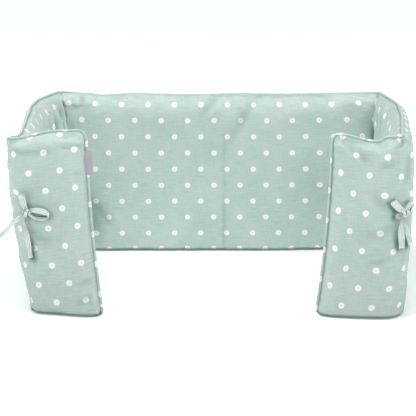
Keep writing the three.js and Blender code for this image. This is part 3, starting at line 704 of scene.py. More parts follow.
def printed_cotton(name, dots=True, base=SAGE, deep=SAGE_DEEP):
    """Light woven cotton, printed. Yarn-dyed look: faint slubs along warp and weft, matt with a
    little fuzz, and round dots of thick white ink that hide the slubs. The threads, about 0.4 mm
    in real cotton, are drawn at THREAD so that they can show."""
    material, tree, shader = bare_material(name, roughness=0.88, sheen_weight=0.12)
    shader.inputs["Sheen Roughness"].default_value = 0.55
    shader.inputs["Specular IOR Level"].default_value = 0.25
    cloth = add(tree, "ShaderNodeUVMap", uv_map="cloth").outputs[0]
    place = add(tree, "ShaderNodeTexCoord").outputs["Object"]
    weft, warp = slub(tree, cloth, (0.04, 0.62)), slub(tree, cloth, (0.5, 0.06))
    slubs = add(
        tree, "ShaderNodeMath", {0: weft, 2: warp}, operation="MULTIPLY_ADD", inputs={1: 2.2}
    )
    patches = add(
        tree, "ShaderNodeTexNoise", {0: place}, inputs={"Scale": 14.0, "Detail": 3.0}
    ).outputs[0]
    tone = add(
        tree, "ShaderNodeMath", {0: slubs.outputs[0], 1: patches}, operation="ADD"
    )
    shade = add(
        tree, "ShaderNodeMapRange", {0: tone.outputs[0]}, inputs={1: 1.7, 2: 2.5, 3: 0, 4: 1}
    )
    ground = add(
        tree, "ShaderNodeMix", {0: shade.outputs[0]}, data_type="RGBA",
        inputs={6: linear(deep), 7: linear(base)},
    ).outputs[2]
    height = cotton_weave(tree, cloth, THREAD)
    colour = ground
    if dots:
        wobble = add(
            tree, "ShaderNodeTexNoise", {0: cloth}, inputs={"Scale": 600.0, "Detail": 1.0}
        ).outputs[0]
        nearest = []
        for shift in ((0, 0), (DOT_PITCH / 2, DOT_ROWS)):
            moved = add(
                tree, "ShaderNodeVectorMath", {0: cloth}, operation="ADD",
                inputs={1: (shift[0] * MM, shift[1] * MM, 0)},
            )
            wrapped = add(
                tree, "ShaderNodeVectorMath", {0: moved.outputs[0]}, operation="WRAP",
                inputs={
                    1: (DOT_PITCH / 2 * MM, DOT_ROWS * MM, 1),
                    2: (-DOT_PITCH / 2 * MM, -DOT_ROWS * MM, -1),
                },
            )
            nearest.append(
                add(tree, "ShaderNodeVectorMath", {0: wrapped.outputs[0]}, operation="LENGTH")
            )
        away = add(
            tree, "ShaderNodeMath", {i: n.outputs["Value"] for i, n in enumerate(nearest)},
            operation="MINIMUM",
        )
        ragged = add(
            tree, "ShaderNodeMath", {0: wobble, 2: away.outputs[0]}, operation="MULTIPLY_ADD",
            inputs={1: 0.0006},
        )
        ink = add(
            tree, "ShaderNodeMapRange", {0: ragged.outputs[0]}, interpolation_type="SMOOTHSTEP",
            inputs={1: DOT_ROUND * MM - 0.0001, 2: DOT_ROUND * MM + 0.0007, 3: 1, 4: 0},
        ).outputs[0]
        rim = add(
            tree, "ShaderNodeMapRange", {0: ragged.outputs[0]}, interpolation_type="SMOOTHSTEP",
            inputs={1: 0.0004, 2: DOT_ROUND * MM * 0.7, 3: 0, 4: 1},
        ).outputs[0]
        white = add(
            tree, "ShaderNodeMix", {0: rim}, data_type="RGBA",
            inputs={6: linear(DOT_MIDDLE), 7: linear(DOT_WHITE)},
        ).outputs[2]
        colour = add(
            tree, "ShaderNodeMix", {0: ink, 6: ground, 7: white}, data_type="RGBA"
        ).outputs[2]
    # Painted shade: the second UV map's first channel mixes the colour towards SAGE_SHADE in
    # creases, seams, pleats and at the foot; its second channel shows the white raw yarn at cut
    # ends.
    depth = add(tree, "ShaderNodeUVMap", uv_map="painted_shade").outputs[0]
    shade_and_fray = add(tree, "ShaderNodeSeparateXYZ", {0: depth})
    shaded = add(
        tree, "ShaderNodeMix", {0: shade_and_fray.outputs[0], 6: colour}, data_type="RGBA",
        inputs={7: linear(SAGE_SHADE)},
    ).outputs[2]
    frayed = add(
        tree, "ShaderNodeMix", {0: shade_and_fray.outputs[1], 6: shaded}, data_type="RGBA",
        inputs={7: linear(RAW_THREAD)},
    ).outputs[2]
    tree.links.new(frayed, shader.inputs["Base Color"])
    bump = add(
        tree, "ShaderNodeBump", {"Height": height}, inputs={"Strength": 0.35, "Distance": 0.0002}
    )
    tree.links.new(bump.outputs[0], shader.inputs["Normal"])
    return material


def woven_tape(name):
    """Satin-woven label tape: dense, smooth and a little shiny, with fine ribs across."""
    material, tree, shader = bare_material(name, roughness=0.5, sheen_weight=0.05)
    cloth = add(tree, "ShaderNodeUVMap", uv_map="cloth").outputs[0]
    ribs = cotton_weave(tree, cloth, TAPE_RIB)
    patches = slub(tree, cloth, (0.2, 0.2))
    colour = add(
        tree, "ShaderNodeMix", {0: patches}, data_type="RGBA",
        inputs={6: linear(TAPE_GREY_DEEP), 7: linear(TAPE_GREY)},
    ).outputs[2]
    tree.links.new(colour, shader.inputs["Base Color"])
    bump = add(
        tree, "ShaderNodeBump", {"Height": ribs}, inputs={"Strength": 0.3, "Distance": 0.0001}
    )
    tree.links.new(bump.outputs[0], shader.inputs["Normal"])
    return material


# ---- the pad ----
def swell(points, faces, pins, cap):
    """Lets the pad's cloth swell over its filling from its sewn lines, and gives the points."""
    piece = new_piece("pad_cloth", points, faces, None)
    group = piece.vertex_groups.new(name="sewn")
    for index, hold in enumerate(pins):
        if hold > 0:
            group.add([index], float(hold), "REPLACE")
    cloth = piece.modifiers.new("swell", "CLOTH")
    settings = cloth.settings
    settings.quality = 5
    settings.mass = 0.2
    settings.tension_stiffness = settings.compression_stiffness = 12
    settings.shear_stiffness = 6
    settings.bending_stiffness = 0.4
    settings.vertex_group_mass = "sewn"
    settings.pin_stiffness = 1.0
    settings.use_pressure = True
    settings.uniform_pressure_force = 4
    settings.shrink_min = settings.shrink_max = -0.035
    settings.effector_weights.gravity = 0
    cloth.point_cache.frame_start = 1
    cloth.point_cache.frame_end = SWELL_STEPS
    scene = bpy.context.scene
    for step in range(1, SWELL_STEPS + 1):
        scene.frame_set(step)
    shown = piece.evaluated_get(bpy.context.evaluated_depsgraph_get())
    swollen = np.zeros(len(points) * 3)
    shown.data.vertices.foreach_get("co", swollen)
    scene.frame_set(1)
    bpy.data.objects.remove(piece)
    move = swollen.reshape(-1, 3) - points
    far = np.linalg.norm(move, axis=1, keepdims=True)
    return points + move * np.minimum(1, cap / np.maximum(far, 1e-9))


def cloth_axes(panel):
    """The cloth's own right and up where a panel is turned, leans and is sewn a little askew."""
    yaw, lean, columns = (math.radians(a) for a in (panel.yaw, panel.lean, panel.roll))
    rows = columns + math.radians(panel.skew)
    right = np.array([math.cos(yaw), math.sin(yaw), 0.0])
    up = np.array([0, 0, math.cos(lean)]) + math.sin(lean) * np.cross(right, (0, 0, 1))
    return (
        right * math.cos(columns) + up * math.sin(columns),
        up * math.cos(rows) - right * math.sin(rows),
    )


def on_panel(panel, points):
    """Points' places on the cloth of a panel, in millimetres from one of its dots."""
    right, up = cloth_axes(panel)
    away = points - np.array([panel.x, panel.y, panel.z])
    return np.stack([away @ right, away @ up], -1)


def nearest_repeat(gap):
    """A shift of the cloth, less whole repeats of its dots."""
    best = None
    for i in range(-80, 81):
        for j in (0, 1):
            repeat = np.array([i * DOT_PITCH + j * DOT_PITCH / 2, j * DOT_ROWS])
            repeat[1] += round((gap[1] - repeat[1]) / (2 * DOT_ROWS)) * 2 * DOT_ROWS
            rest = gap - repeat
            if best is None or np.linalg.norm(rest) < np.linalg.norm(best):
                best = rest
    return best


def cloth_lines(face):
    """Where the foot and the top of each place along the pad lie on that face's cloth."""
    places = SEAM["along"]
    st = stations_at(places)
    out = np.full(len(places), face * (PAD_HALF - 1))
    foot, top = pad_point(st, np.zeros(len(places)), out), pad_point(st, st["height"], out)
    tall = np.linalg.norm(top - foot, axis=1)

    def laid_from(panel, start, stop, way):
        """Foot and top places, flat on the panel and then along the cloth past its fold."""
        lines = np.stack([on_panel(panel, foot), on_panel(panel, top)], 1)
        flat = np.flatnonzero((places >= start) & (places <= stop))
        steps = [np.linalg.norm(np.diff(line, axis=0), axis=1) * way for line in (foot, top)]
        ahead, back = range(flat[-1] + 1, len(places)), range(flat[0] - 1, -1, -1)
        for end, order in ((flat[-1], ahead), (flat[0], back)):
            for i in order:
                nearer = i - 1 if i > end else i + 1
                step = [s[min(i, nearer)] * (1 if i > end else -1) for s in steps]
                lines[i, :, 0] = lines[nearer, :, 0] + np.mean(step)
                lines[i, 0, 1] = lines[end, 0, 1]
                lines[i, 1, 1] = lines[end, 0, 1] + tall[i]
        return lines

    if face < 0:
        inside = laid_from(
            PANELS["back"], FOLDS["left back"] + 22, FOLDS["right back"] - 22, 1
        )
        past_left = np.clip(FOLDS["left back"] - places, 0, None)
        past_right = np.clip(places - FOLDS["right back"], 0, None)
        for start, stop, lost in LEFT_PLEATS:
            inside[:, :, 0] += (lost * smooth((past_left - start) / (stop - start)))[:, None]
        inside[:, :, 0] -= ((SIDE_GATHER - 1) * past_left)[:, None]
        inside[:, :, 1] += (SIDE_SINK * past_right)[:, None]
        on_back = smooth((places - FOLDS["left back"]) / 120)
        on_back = on_back * smooth((FOLDS["right back"] - places) / 120)
        right_end = smooth((places - FOLDS["right back"] + 260) / 200)
        inside[:, 1, 1] += BACK_SAG * on_back
        inside[:, 1, 0] += BACK_PULL * right_end
        return places, inside
    left = laid_from(PANELS["left flap"], -1, FOLDS["left front"] - 14, -1)
    right = laid_from(PANELS["right flap"], FOLDS["right front"] + 14, TOTAL + 1, -1)
    middle = np.searchsorted(places, TOTAL / 2)
    shift = nearest_repeat((right - left)[middle].mean(0))
    share = smooth(
        (places - FOLDS["left back"]) / (FOLDS["right back"] - FOLDS["left back"])
    )[:, None, None]
    whole = (right - left)[middle].mean(0) - shift
    return places, mix(left, right - whole, share)


def cloth_places(face, along, up_share):
    """Places on a face's cloth, in millimetres, of points of the pad."""
    places, lines = cloth_lines(face)
    found = []
    for k in (0, 1):
        foot = np.interp(along, places, lines[:, 0, k])
        top = np.interp(along, places, lines[:, 1, k])
        found.append(mix(foot, top, up_share))
    return np.stack(found, -1)


def arc_shares(grid, face, st):
    """How far up its cloth each point of the rings lies, as a share of the seam's height. It
    follows the rounded shoulder and foot instead of the height alone."""
    shares = np.zeros(grid.shape[:2])
    for side in (1, -1):
        columns = np.flatnonzero(face == side)[:: 1 if side > 0 else -1]
        line = grid[:, columns]
        arc = np.cumsum(np.linalg.norm(np.diff(line, axis=1), axis=2), axis=1)
        arc = np.concatenate([np.zeros((len(arc), 1)), arc], 1)
        half = len(columns) // 2
        shares[:, columns] = (arc - arc[:, half : half + 1] + line[:, half : half + 1, 2]) / (
            st["height"][:, None]
        )
    return shares


def crease_push(along, up, face):
    """How far the creases push the cloth out from the filling, in millimetres, and their painted
    shade.
    """
    starts = {**FOLDS, "left end": 0.0, "right end": TOTAL}
    push = np.zeros(np.broadcast(along, up).shape)
    shade = np.zeros(push.shape)
    here = np.stack(np.broadcast_arrays(along, up), -1)
    for crease in CREASES:
        path = np.array(crease.path, float) + (starts[crease.start], 0)
        legs = np.diff(path, axis=0)
        lengths = np.linalg.norm(legs, axis=1)
        total, before = lengths.sum(), 0.0
        nearest, gone = np.full(push.shape, np.inf), np.zeros(push.shape)
        for spot, leg, length in zip(path, legs, lengths):
            t = np.clip(((here - spot) @ leg) / length**2, 0, 1)
            away = np.linalg.norm(here - spot - t[..., None] * leg, axis=-1)
            closer = away < nearest
            nearest = np.where(closer, away, nearest)
            gone = np.where(closer, before + t * length, gone)
            before += length
        fade = min(3 * crease.wide, 0.3 * total)
        ends = smooth(gone / fade) * smooth((total - gone) / fade)
        trough = np.exp(-((nearest / crease.wide) ** 2))
        bank = np.exp(-(((nearest - 2.3 * crease.wide) / (1.2 * crease.wide)) ** 2))
        shape = (CREASE_BANK * bank - trough) * crease.deep * (0.25 + 0.75 * ends)
        push += np.where(face == crease.face, shape, 0)
        shade = np.maximum(shade, np.where(face == crease.face, crease.dark * trough * ends, 0))
    return push, shade


def cloth_push(along, up, face, seam, inset):
    """All the small relief of the cloth over its filling, in millimetres, and the creases' painted
    shade.
    """
    down = np.clip(seam - up, 0, None)
    spots = np.stack(np.broadcast_arrays(along, up * 1.3, face * 500.0), -1)
    flat = spots.reshape(-1, 3)
    sway = ripple(flat, SWAY_WIDE, 3.1).reshape(down.shape)
    crumple = ripple(flat * (0.6, 1, 1), CRUMPLE_WIDE, 9.4).reshape(down.shape)
    gather = np.sin(2 * np.pi * (along / PUCKER_EVERY + 0.9 * sway))
    side_gather = np.sin(2 * np.pi * (up / PUCKER_EVERY + 0.9 * sway))
    uneven = 0.55 + 0.9 * np.abs(crumple)
    near_seam = np.exp(-down / PUCKER_REACH) + 0.8 * np.exp(-np.clip(up, 0, None) / PUCKER_REACH)
    near_edge = np.exp(-inset / PUCKER_REACH)
    push = PUCKER_DEEP * uneven * (gather * near_seam + side_gather * near_edge)
    push += SWAY_DEEP * sway + CRUMPLE_DEEP * crumple
    far = (along > FOLDS["right back"] + 25) & (along < FOLDS["right front"] - 8) & (face > 0)
    ruched = np.sin(2 * np.pi * (along / RUCHE_EVERY + 0.5 * sway)) * np.exp(-down / 45)
    push += np.where(far, RUCHE_DEEP * ruched * uneven, 0)
    still = smooth(down / 5) * smooth(up / 4) * smooth(inset / 4)
    creased, shade = crease_push(along, up, face)
    shade = np.maximum(shade, np.clip(-creased / CREASE_DARK, 0, 1)) * still
    return (push + creased) * still, shade


def painted_shade_share(painted_crease_shade, height, down, inset, along, face):
    """Share of painted shade on the cloth in a crease, beside the piping and above the floor, from 0
    to 1.
    """
    on_back = smooth((along - FOLDS["left back"]) / 30)
    on_back = on_back * smooth((FOLDS["right back"] - along) / 30)
    open_side = np.where(face > 0, mix(1, OUTSIDE_SHARE, behind(along)), 1 - on_back)
    by_top = np.exp(-((down / SEAM_DARK) ** 2)) * open_side
    by_edge = np.exp(-((inset / SEAM_DARK) ** 2)) * np.where(along < TOTAL / 2, LEFT_EDGE_SHARE, 1)
    at_foot = np.exp(-((height / FOOT_DARK) ** 4))
    return np.maximum(painted_crease_shade, np.maximum(SEAM_SHARE * np.maximum(by_top, by_edge), at_foot))


def make_pad(material):
    places = station_places()
    grid, share, face, st = pad_grid(places)
    rings, count = grid.shape[:2]
    metres = to_part(grid)
    hold = np.zeros((rings, count))
    hold[:, (share < 0.012) | (share > 0.985)] = 1
    for at in FOLDS.values():
        hold[np.abs(places - at) < 2] = 1
    hold[[0, -1]] = 1
    cage = metres.reshape(-1, 3), ring_faces(rings, count)
    metres = swell(*cage, hold.ravel(), SWELL_CAP * MM).reshape(metres.shape)
    fine = finer(metres)
    rings, count = fine.shape[:2]
    along = halfway(places)
    side = np.repeat(face, 2)
    levels = stations_at(along)
    seam, inset = edge_heights(levels)[2][:, None], levels["inset"][:, None]
    height = fine[..., 2] / MM
    push, painted_crease_shade = cloth_push(along[:, None], height, side[None], seam, inset)
    down = np.clip(seam - height, 0, None)
    # painted shade: the cloth's colour darkens towards SAGE_SHADE in creases, beside the piping and
    # at the foot
    painted_shade = painted_shade_share(painted_crease_shade, height, down, inset, along[:, None], side[None])
    fine += grid_normals(fine) * push[..., None] * MM
    piece = new_piece("pad_body", fine.reshape(-1, 3), ring_faces(rings, count), material)
    up = halfway(halfway(arc_shares(grid, face, st)).T, closed=True).T
    up = mix(up, height / levels["height"][:, None], beside(along)[:, None] * (side < 0))
    laid = np.zeros((rings, count, 2))
    for one in (1, -1):
        columns = side == one
        laid[:, columns] = cloth_places(one, along[:, None], up[:, columns])
    lay_pattern(piece, laid.reshape(-1, 2), painted_shade.ravel())
    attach(piece, "root")
    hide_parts("pad")
    return piece


# ---- piping ----
def piping_route():
    """The piping's middle as a closed loop of places: distance along the pad and height. It starts
    under the back of the pad, where nobody sees the covering's join."""
    turn, foot_turn = CORNER_ROUND + PIPING_REST, FOOT_CORNER + PIPING_REST
    low = PIPING_FLOOR + PIPING_RADIUS
    angles = np.linspace(0, math.pi / 2, 8)
    inset, rise = CORNER_ROUND - turn * np.cos(angles), turn * (1 - np.sin(angles))
    foot_inset = FOOT_CORNER - foot_turn * np.cos(angles)
    foot_rise = foot_turn * (1 - np.sin(angles))

    def run(start, stop):
        count = max(2, round(abs(stop - start) / PIPING_SPACING))
        return np.linspace(start, stop, count + 1)[1:-1]

    half = TOTAL / 2

    def top_of(place):
        return stations_at(place)["height"] + PIPING_REST - PIPING_SUNK

    left_top, right_top = top_of(np.array([-PIPING_REST, TOTAL + PIPING_REST]))
    across, back = run(FOOT_CORNER, TOTAL - FOOT_CORNER), run(TOTAL - CORNER_ROUND, CORNER_ROUND)
    up, down = run(low + foot_turn, right_top - turn), run(left_top - turn, low + foot_turn)
    first, last = across[across >= half], across[across < half]
    legs = [
        (first, np.full(len(first), low)),
        (TOTAL - foot_inset[::-1], low + foot_rise[::-1]),
        (np.full(len(up), TOTAL + PIPING_REST), up),
        (TOTAL - inset, top_of(TOTAL - inset) - rise),
        (back, top_of(back)),
        (inset[::-1], top_of(inset[::-1]) - rise[::-1]),
        (np.full(len(down), -PIPING_REST), down),
        (foot_inset, low + foot_rise),
        (last, np.full(len(last), low)),
    ]
    return [np.concatenate([leg[k] for leg in legs]) for k in (0, 1)]


def make_piping(material):
    along, height = piping_route()
    st = stations_at(along)
    on_back = smooth((along - FOLDS["left back"]) / 30) * smooth((FOLDS["right back"] - along) / 30)
    on_back = np.where(height > 100, on_back, 0)
    middle = pad_point(st, height - PIPING_BACK_DROP * on_back, PIPING_BACK_LEAN * on_back)
    ahead = unit(np.roll(middle, -1, 0) - np.roll(middle, 1, 0))
    out = np.concatenate([st["out"], np.zeros((len(along), 1))], 1)
    to_seam = unit(np.cross(ahead, out))
    across = unit(np.cross(to_seam, ahead))
    gone = np.cumsum(np.linalg.norm(middle - np.roll(middle, 1, 0), axis=1))
    angles = np.linspace(0, 2 * math.pi, PIPING_SIDES, endpoint=False)
    pucker = 1 + 0.05 * np.sin(gone[:, None] / 1.7 + 2 * np.sin(angles)) + 0.03 * np.sin(
        gone[:, None] / 4.3 + 1
    )
    neck = PIPING_NECK * np.exp(-((np.minimum(angles, 2 * math.pi - angles) / 0.3) ** 2))
    radius = PIPING_RADIUS * pucker + neck
    rings = (
        middle[:, None]
        + to_seam[:, None] * (radius * np.cos(angles))[..., None]
        - across[:, None] * (radius * np.sin(angles))[..., None]
    )
    faces = ring_faces(len(along), PIPING_SIDES, loop=True)
    piece = new_piece("piping_cord", to_part(rings.reshape(-1, 3)), faces, material)
    hidden = behind(along)
    drift = 2.5 * np.sin(gone / 170) * (1 - hidden) + 13 * hidden
    round_it = (angles - math.pi) * PIPING_RADIUS
    slip = PIPING_DOT_SLIP * smooth((TOTAL / 2 + 100 - along) / 200) * (height > 20)
    started = (gone + slip)[:, None] + PIPING_DOT_START
    laid = np.stack(np.broadcast_arrays(started, round_it[None] + drift[:, None]), -1)
    # painted shade on the piping: by the seam, less on the outsides and at the left free edge, none
    # along the back's top, and full on the run along the floor
    by_seam = SEAM_SHARE * np.exp(-((np.minimum(angles, 2 * math.pi - angles) / PIPING_DARK) ** 4))
    outside = np.where(angles > math.pi, mix(1, OUTSIDE_SHARE, hidden[:, None]), 1)
    open_edge = np.where((along < TOTAL / 2) & (st["inset"] < 1), LEFT_EDGE_SHARE, 1)
    painted_shade = by_seam * outside * ((1 - on_back) * open_edge)[:, None]
    painted_shade = np.maximum(painted_shade, np.clip(1.6 - height / 5, 0, 1)[:, None])
    lay_pattern(piece, laid.reshape(-1, 2), painted_shade.ravel())
    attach(piece, "root")
    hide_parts("piping")
    return piece


# ---- label tab ----
def make_label(material):
    """A short tape folded double, both its cut ends sewn into the seam."""
    edge = stations_at(np.array([-GAP]))
    outer, inner = TAPE_THICK * 1.3, TAPE_THICK * 0.3
    run = np.linspace(LABEL_NEAR, LABEL_WIDTH - outer, 12)
    turn = np.linspace(math.pi / 2, -math.pi / 2, 7)[1:-1]

    def layer(off):
        front = np.stack([run, np.full(len(run), off)], 1)
        fold = np.stack([run[-1] + off * np.cos(turn), off * np.sin(turn)], 1)
        return np.concatenate([front, fold, front[::-1] * (1, -1)])

    outside = layer(outer)
    section = np.concatenate([outside, layer(inner)[::-1]])
    rows = np.linspace(0, 1, 20)
    rings, laid = [], []
    steps = np.linalg.norm(np.diff(outside, axis=0), axis=1)
    length = np.concatenate([[0], np.cumsum(steps)])
    length = np.concatenate([length, length[::-1]])
    away = np.array([-edge["out"][0, 1], edge["out"][0, 0], 0])
    out = np.array([*edge["out"][0], 0])
    far_share = np.clip(section[:, 0] / LABEL_WIDTH, 0, 1)
    near_dip = -0.12 * np.clip(2.5 - section[:, 0], 0, 6) ** 1.5
    for t in rows:
        height = LABEL_FOOT + LABEL_HEIGHT * t
        root = pad_point(edge, np.array([height]), np.array([LABEL_AHEAD]))[0]
        curl = (0.8 * math.sin(math.pi * t) - 0.3) * far_share**2 + near_dip
        ring = root + np.outer(section[:, 0], away) + np.outer(section[:, 1] + curl, out)
        ring[:, 2] += 0.6 * far_share * (0.5 - t)
        rings.append(ring)
        laid.append(np.stack([length, np.full(len(section), LABEL_HEIGHT * t)], 1))
    rings = np.array(rings)
    faces = ring_faces(len(rows), len(section))
    piece = new_piece("label_tab", to_part(rings.reshape(-1, 3)), faces, material)
    lay_pattern(piece, np.array(laid).reshape(-1, 2))
    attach(piece, "root")
    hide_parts("label")
    return piece


# ---- ties ----
def smooth_route(rows, steps):
    """Rows of numbers at places on a smooth curve through the given rows."""
    line = np.concatenate([[2 * rows[0] - rows[1]], rows, [2 * rows[-1] - rows[-2]]])
    found = []
    for i in range(1, len(line) - 2):
        a, b, c, d = line[i - 1 : i + 3]
        for t in np.arange(steps) / steps:
            bend = (2 * a - 5 * b + 4 * c - d) * t**2 + (3 * b - a - 3 * c + d) * t**3
            found.append(b + ((c - a) * t + bend) / 2)
    return np.array([*found, rows[-1]])


def clear_of(pad, rings):
    """Moves each ring of a tie out of the pad's cloth, all its points together."""
    needed = np.zeros(len(rings))
    away = np.zeros((len(rings), 3))
    for i, ring in enumerate(rings):
        for point in ring:
            spot, normal, _, _ = pad.find_nearest(Vector(to_part(point)))
            normal = np.array(normal)
            depth = TIE_CLEAR - (to_part(point) - np.array(spot)) @ normal / MM
            if depth > needed[i]:
                needed[i] = depth
                away[i] = normal
    push = away * needed[:, None]
    spread = np.stack([np.convolve(push[:, k], np.ones(5) / 5, "same") for k in range(3)], 1)
    longer = np.linalg.norm(spread, axis=1) > np.linalg.norm(push, axis=1)
    return rings + np.where(longer[:, None], spread, push)[:, None]


def ribbon(pad, knot, table, seed, open_start=False, open_end=False):
    """Rings of points of a flat folded tape, gathered into pleats where it is drawn in. Gives the
    rings, their places on the cloth, the painted shade at each point and how frayed it is."""
    rows = smooth_route(np.array(table, float), 8)
    line = np.array(knot) + rows[:, :3] * (1, -1, 1)
    wide, lean = rows[:, 3], np.radians(rows[:, 4])
    ahead = unit(np.gradient(line, axis=0))
    outward = np.array([0.0, -1.0, 0.0])
    across = unit(np.cross(outward, ahead))
    across = across * np.cos(lean)[:, None] + outward * np.sin(lean)[:, None]
    across = unit(across - ahead * (across * ahead).sum(1, keepdims=True))
    deep = np.cross(ahead, across)
    gone = np.cumsum(np.linalg.norm(np.diff(line, axis=0, prepend=line[:1]), axis=1))[:, None]
    x = np.linspace(-1, 1, 19)
    half = TIE_THICK / 2 * (1 - x**2) ** 0.3
    tight = np.clip(1.1 - wide, 0, 1)[:, None]
    folds = np.cos(3.4 * math.pi * x + seed + gone / 17)
    pleat = (0.35 + 1.5 * tight) * folds
    curl = 0.9 * (x**2 - 0.4) * np.sin(gone / 23 + seed)
    middle = pleat + curl
    place = np.concatenate([x, x[::-1]])[None] * wide[:, None] * TIE_WIDTH / 2
    lift = np.concatenate([middle + half, (middle - half)[:, ::-1]], 1)
    rings = line[:, None] + across[:, None] * place[..., None] + deep[:, None] * lift[..., None]
    # painted shade: in the pleats' valleys on the front, under their ridges on the back, and over
    # the insides of the loops
    valley = np.clip(-folds - 0.25, 0, 1) ** 1.5 * (PLEAT_SHADE + 0.5 * tight)
    ridge = np.clip(folds - 0.25, 0, 1) ** 1.5 * (PLEAT_SHADE + 0.5 * tight)
    inside = LOOP_SHADE * smooth((x + 0.1) / 0.9) * np.ones_like(gone)
    painted_shade = np.concatenate([valley, np.maximum(ridge, inside)[:, ::-1]], 1)
    laid = np.stack(np.broadcast_arrays(gone, place), -1)
    frayed = np.zeros(place.shape)
    parts = [clear_of(pad, rings), laid, painted_shade, frayed]
    if open_start:
        parts = [part[::-1] for part in open_mouth(*(part[::-1] for part in parts))]
    if open_end:
        parts = open_mouth(*parts)
    return parts


def open_mouth(rings, laid, painted_shade, frayed):
    """Opens the last ring of a tape as a cut end: its layers part, its yarns show and its inside
    has painted shade."""
    rings, frayed = rings.copy(), frayed.copy()
    for back, part in ((1, 2.3), (2, 1.8), (3, 1.4)):
        middle = (rings[-back] + rings[-back][::-1]) / 2
        rings[-back] = middle + (rings[-back] - middle) * part
        frayed[-back] = 1 if back == 1 else 0.6 if back == 2 else 0.2
    middle = (rings[-1] + rings[-1][::-1]) / 2
    far, into = rings[-1] - middle, rings[-5] - rings[-1]
    rim, bottom = middle + far * 0.6 + into * 0.04, middle + far * 0.45 + into * 0.8
    return (
        np.array([*rings, rim, bottom]),
        np.array([*laid, laid[-1], laid[-5]]),
        np.array([*painted_shade, painted_shade[-1] * 0 + 0.6, painted_shade[-1] * 0 + 1]),
        np.array([*frayed, frayed[-1] * 0.6, frayed[-1] * 0]),
    )


def knot_lump(knot, seed):
    """The wrapped middle of a bow: a small lump with the cloth's folds running over it."""
    rows, count = 22, 34
    rings, laid, painted_shade = [], [], []
    turn = np.linspace(0, 2 * math.pi, count, endpoint=False)
    for polar in np.linspace(0.12, math.pi - 0.12, rows):
        folds = np.cos(4 * turn + 3.2 * polar + seed)
        band = np.exp(-(((polar - 1.5 + 0.45 * np.sin(turn + seed)) / 0.42) ** 2))
        size = 0.46 * (1 + 0.11 * folds + 0.06 * np.cos(2 * turn - 5 * polar) + 0.16 * band)
        rings.append(
            np.stack([
                knot[0] + KNOT_SIZE[0] * size * np.cos(polar),
                knot[1] - KNOT_AHEAD + KNOT_SIZE[1] * size * np.sin(polar) * np.cos(turn),
                knot[2] + KNOT_SIZE[2] * size * np.sin(polar) * np.sin(turn),
            ], -1)
        )
        laid.append(np.stack([turn * 6, np.full(count, polar * 6)], -1))
        # painted shade in the knot's fold valleys and along the edges of its wrapped band
        edge = np.exp(-(((np.abs(polar - 1.5 + 0.45 * np.sin(turn + seed)) - 0.6) / 0.16) ** 2))
        painted_shade.append(np.maximum(0.7 * np.clip(-folds - 0.3, 0, 1), 1.0 * edge))
    return [np.array(rings), np.array(laid), np.array(painted_shade), np.zeros((rows, count))]


def make_tie(name, node, material, shapes):
    """One tie of a bow, made of its strips, with the knot's lump where it is the one wrapped."""
    points, faces, laid, painted_shade, frayed = [], [], [], [], []
    for rings, places, deep, raw in shapes:
        start = len(points)
        count = rings.shape[1]
        points += list(rings.reshape(-1, 3))
        laid += list(places.reshape(-1, 2))
        painted_shade += list(deep.ravel())
        frayed += list(raw.ravel())
        faces += [tuple(start + i for i in f) for f in ring_faces(len(rings), count)]
    piece = new_piece(name, to_part(np.array(points)), faces, material)
    lay_pattern(piece, np.array(laid), np.array(painted_shade), np.array(frayed))
    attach(piece, "root")
    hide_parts(node)
    return piece


def shade_behind(pad_piece, ties):
    """Paints a shade on the pad's cloth close behind the ties, on the side set by SHADE_FALL. It is
    part of the cloth's colour, so it stays the same under any light."""
    points, faces = [], []
    for tie in ties:
        start = len(points)
        points += [v.co for v in tie.data.vertices]
        faces += [tuple(start + i for i in p.vertices) for p in tie.data.polygons]
    bows = BVHTree.FromPolygons(points, faces)
    shade_and_fray = pad_piece.data.uv_layers["painted_shade"].data
    shades = {}
    for loop in pad_piece.data.loops:
        place = pad_piece.data.vertices[loop.vertex_index].co
        if abs(place.x) < BOWS_OUT_FROM * MM or place.y > BOWS_BEHIND * MM:
            continue
        if not BOWS_LOW * MM < place.z < BOWS_HIGH * MM:
            continue
        if loop.vertex_index not in shades:
            right, up = SHADE_FALL[1 if place.x < 0 else -1]
            away = bows.find_nearest(place - Vector((right, 0, up)) * MM)[3] / MM
            shades[loop.vertex_index] = SHADE_SHARE * math.exp(-((away / SHADE_REACH) ** 2))
        spot = shade_and_fray[loop.index].uv
        spot[0] = max(spot[0], shades[loop.vertex_index])


def make_ties(material, pad_piece):
    mesh = pad_piece.data
    pad = BVHTree.FromPolygons([v.co for v in mesh.vertices], [p.vertices for p in mesh.polygons])
    pieces = [
        ("left_tie_knotted", "tie_left_knotted", 165, [
            ribbon(pad, LEFT_KNOT, LEFT_UPPER_LOOP, 0.4),
            ribbon(pad, LEFT_KNOT, LEFT_DOWN_TAIL, 2.1, open_end=True),
            knot_lump(LEFT_KNOT, 0.6),
        ]),
        ("left_tie_threaded", "tie_left_threaded", 160, [
            ribbon(pad, LEFT_KNOT, LEFT_THREADED, 1.3, open_start=True),
        ]),
        ("right_tie_knotted", "tie_right_knotted", 145, [
            ribbon(pad, RIGHT_KNOT, RIGHT_UPPER_LOOP, 1.9),
            ribbon(pad, RIGHT_KNOT, RIGHT_DOWN_TAIL, 0.2, open_end=True),
            knot_lump(RIGHT_KNOT, 2.2),
        ]),
        ("right_tie_threaded", "tie_right_threaded", 130, [
            ribbon(pad, RIGHT_KNOT, RIGHT_THREADED, 2.8, open_end=True),
        ]),
    ]
    ties = [make_tie(name, node, material, shapes) for name, node, flat, shapes in pieces]
    shade_behind(pad_piece, ties)


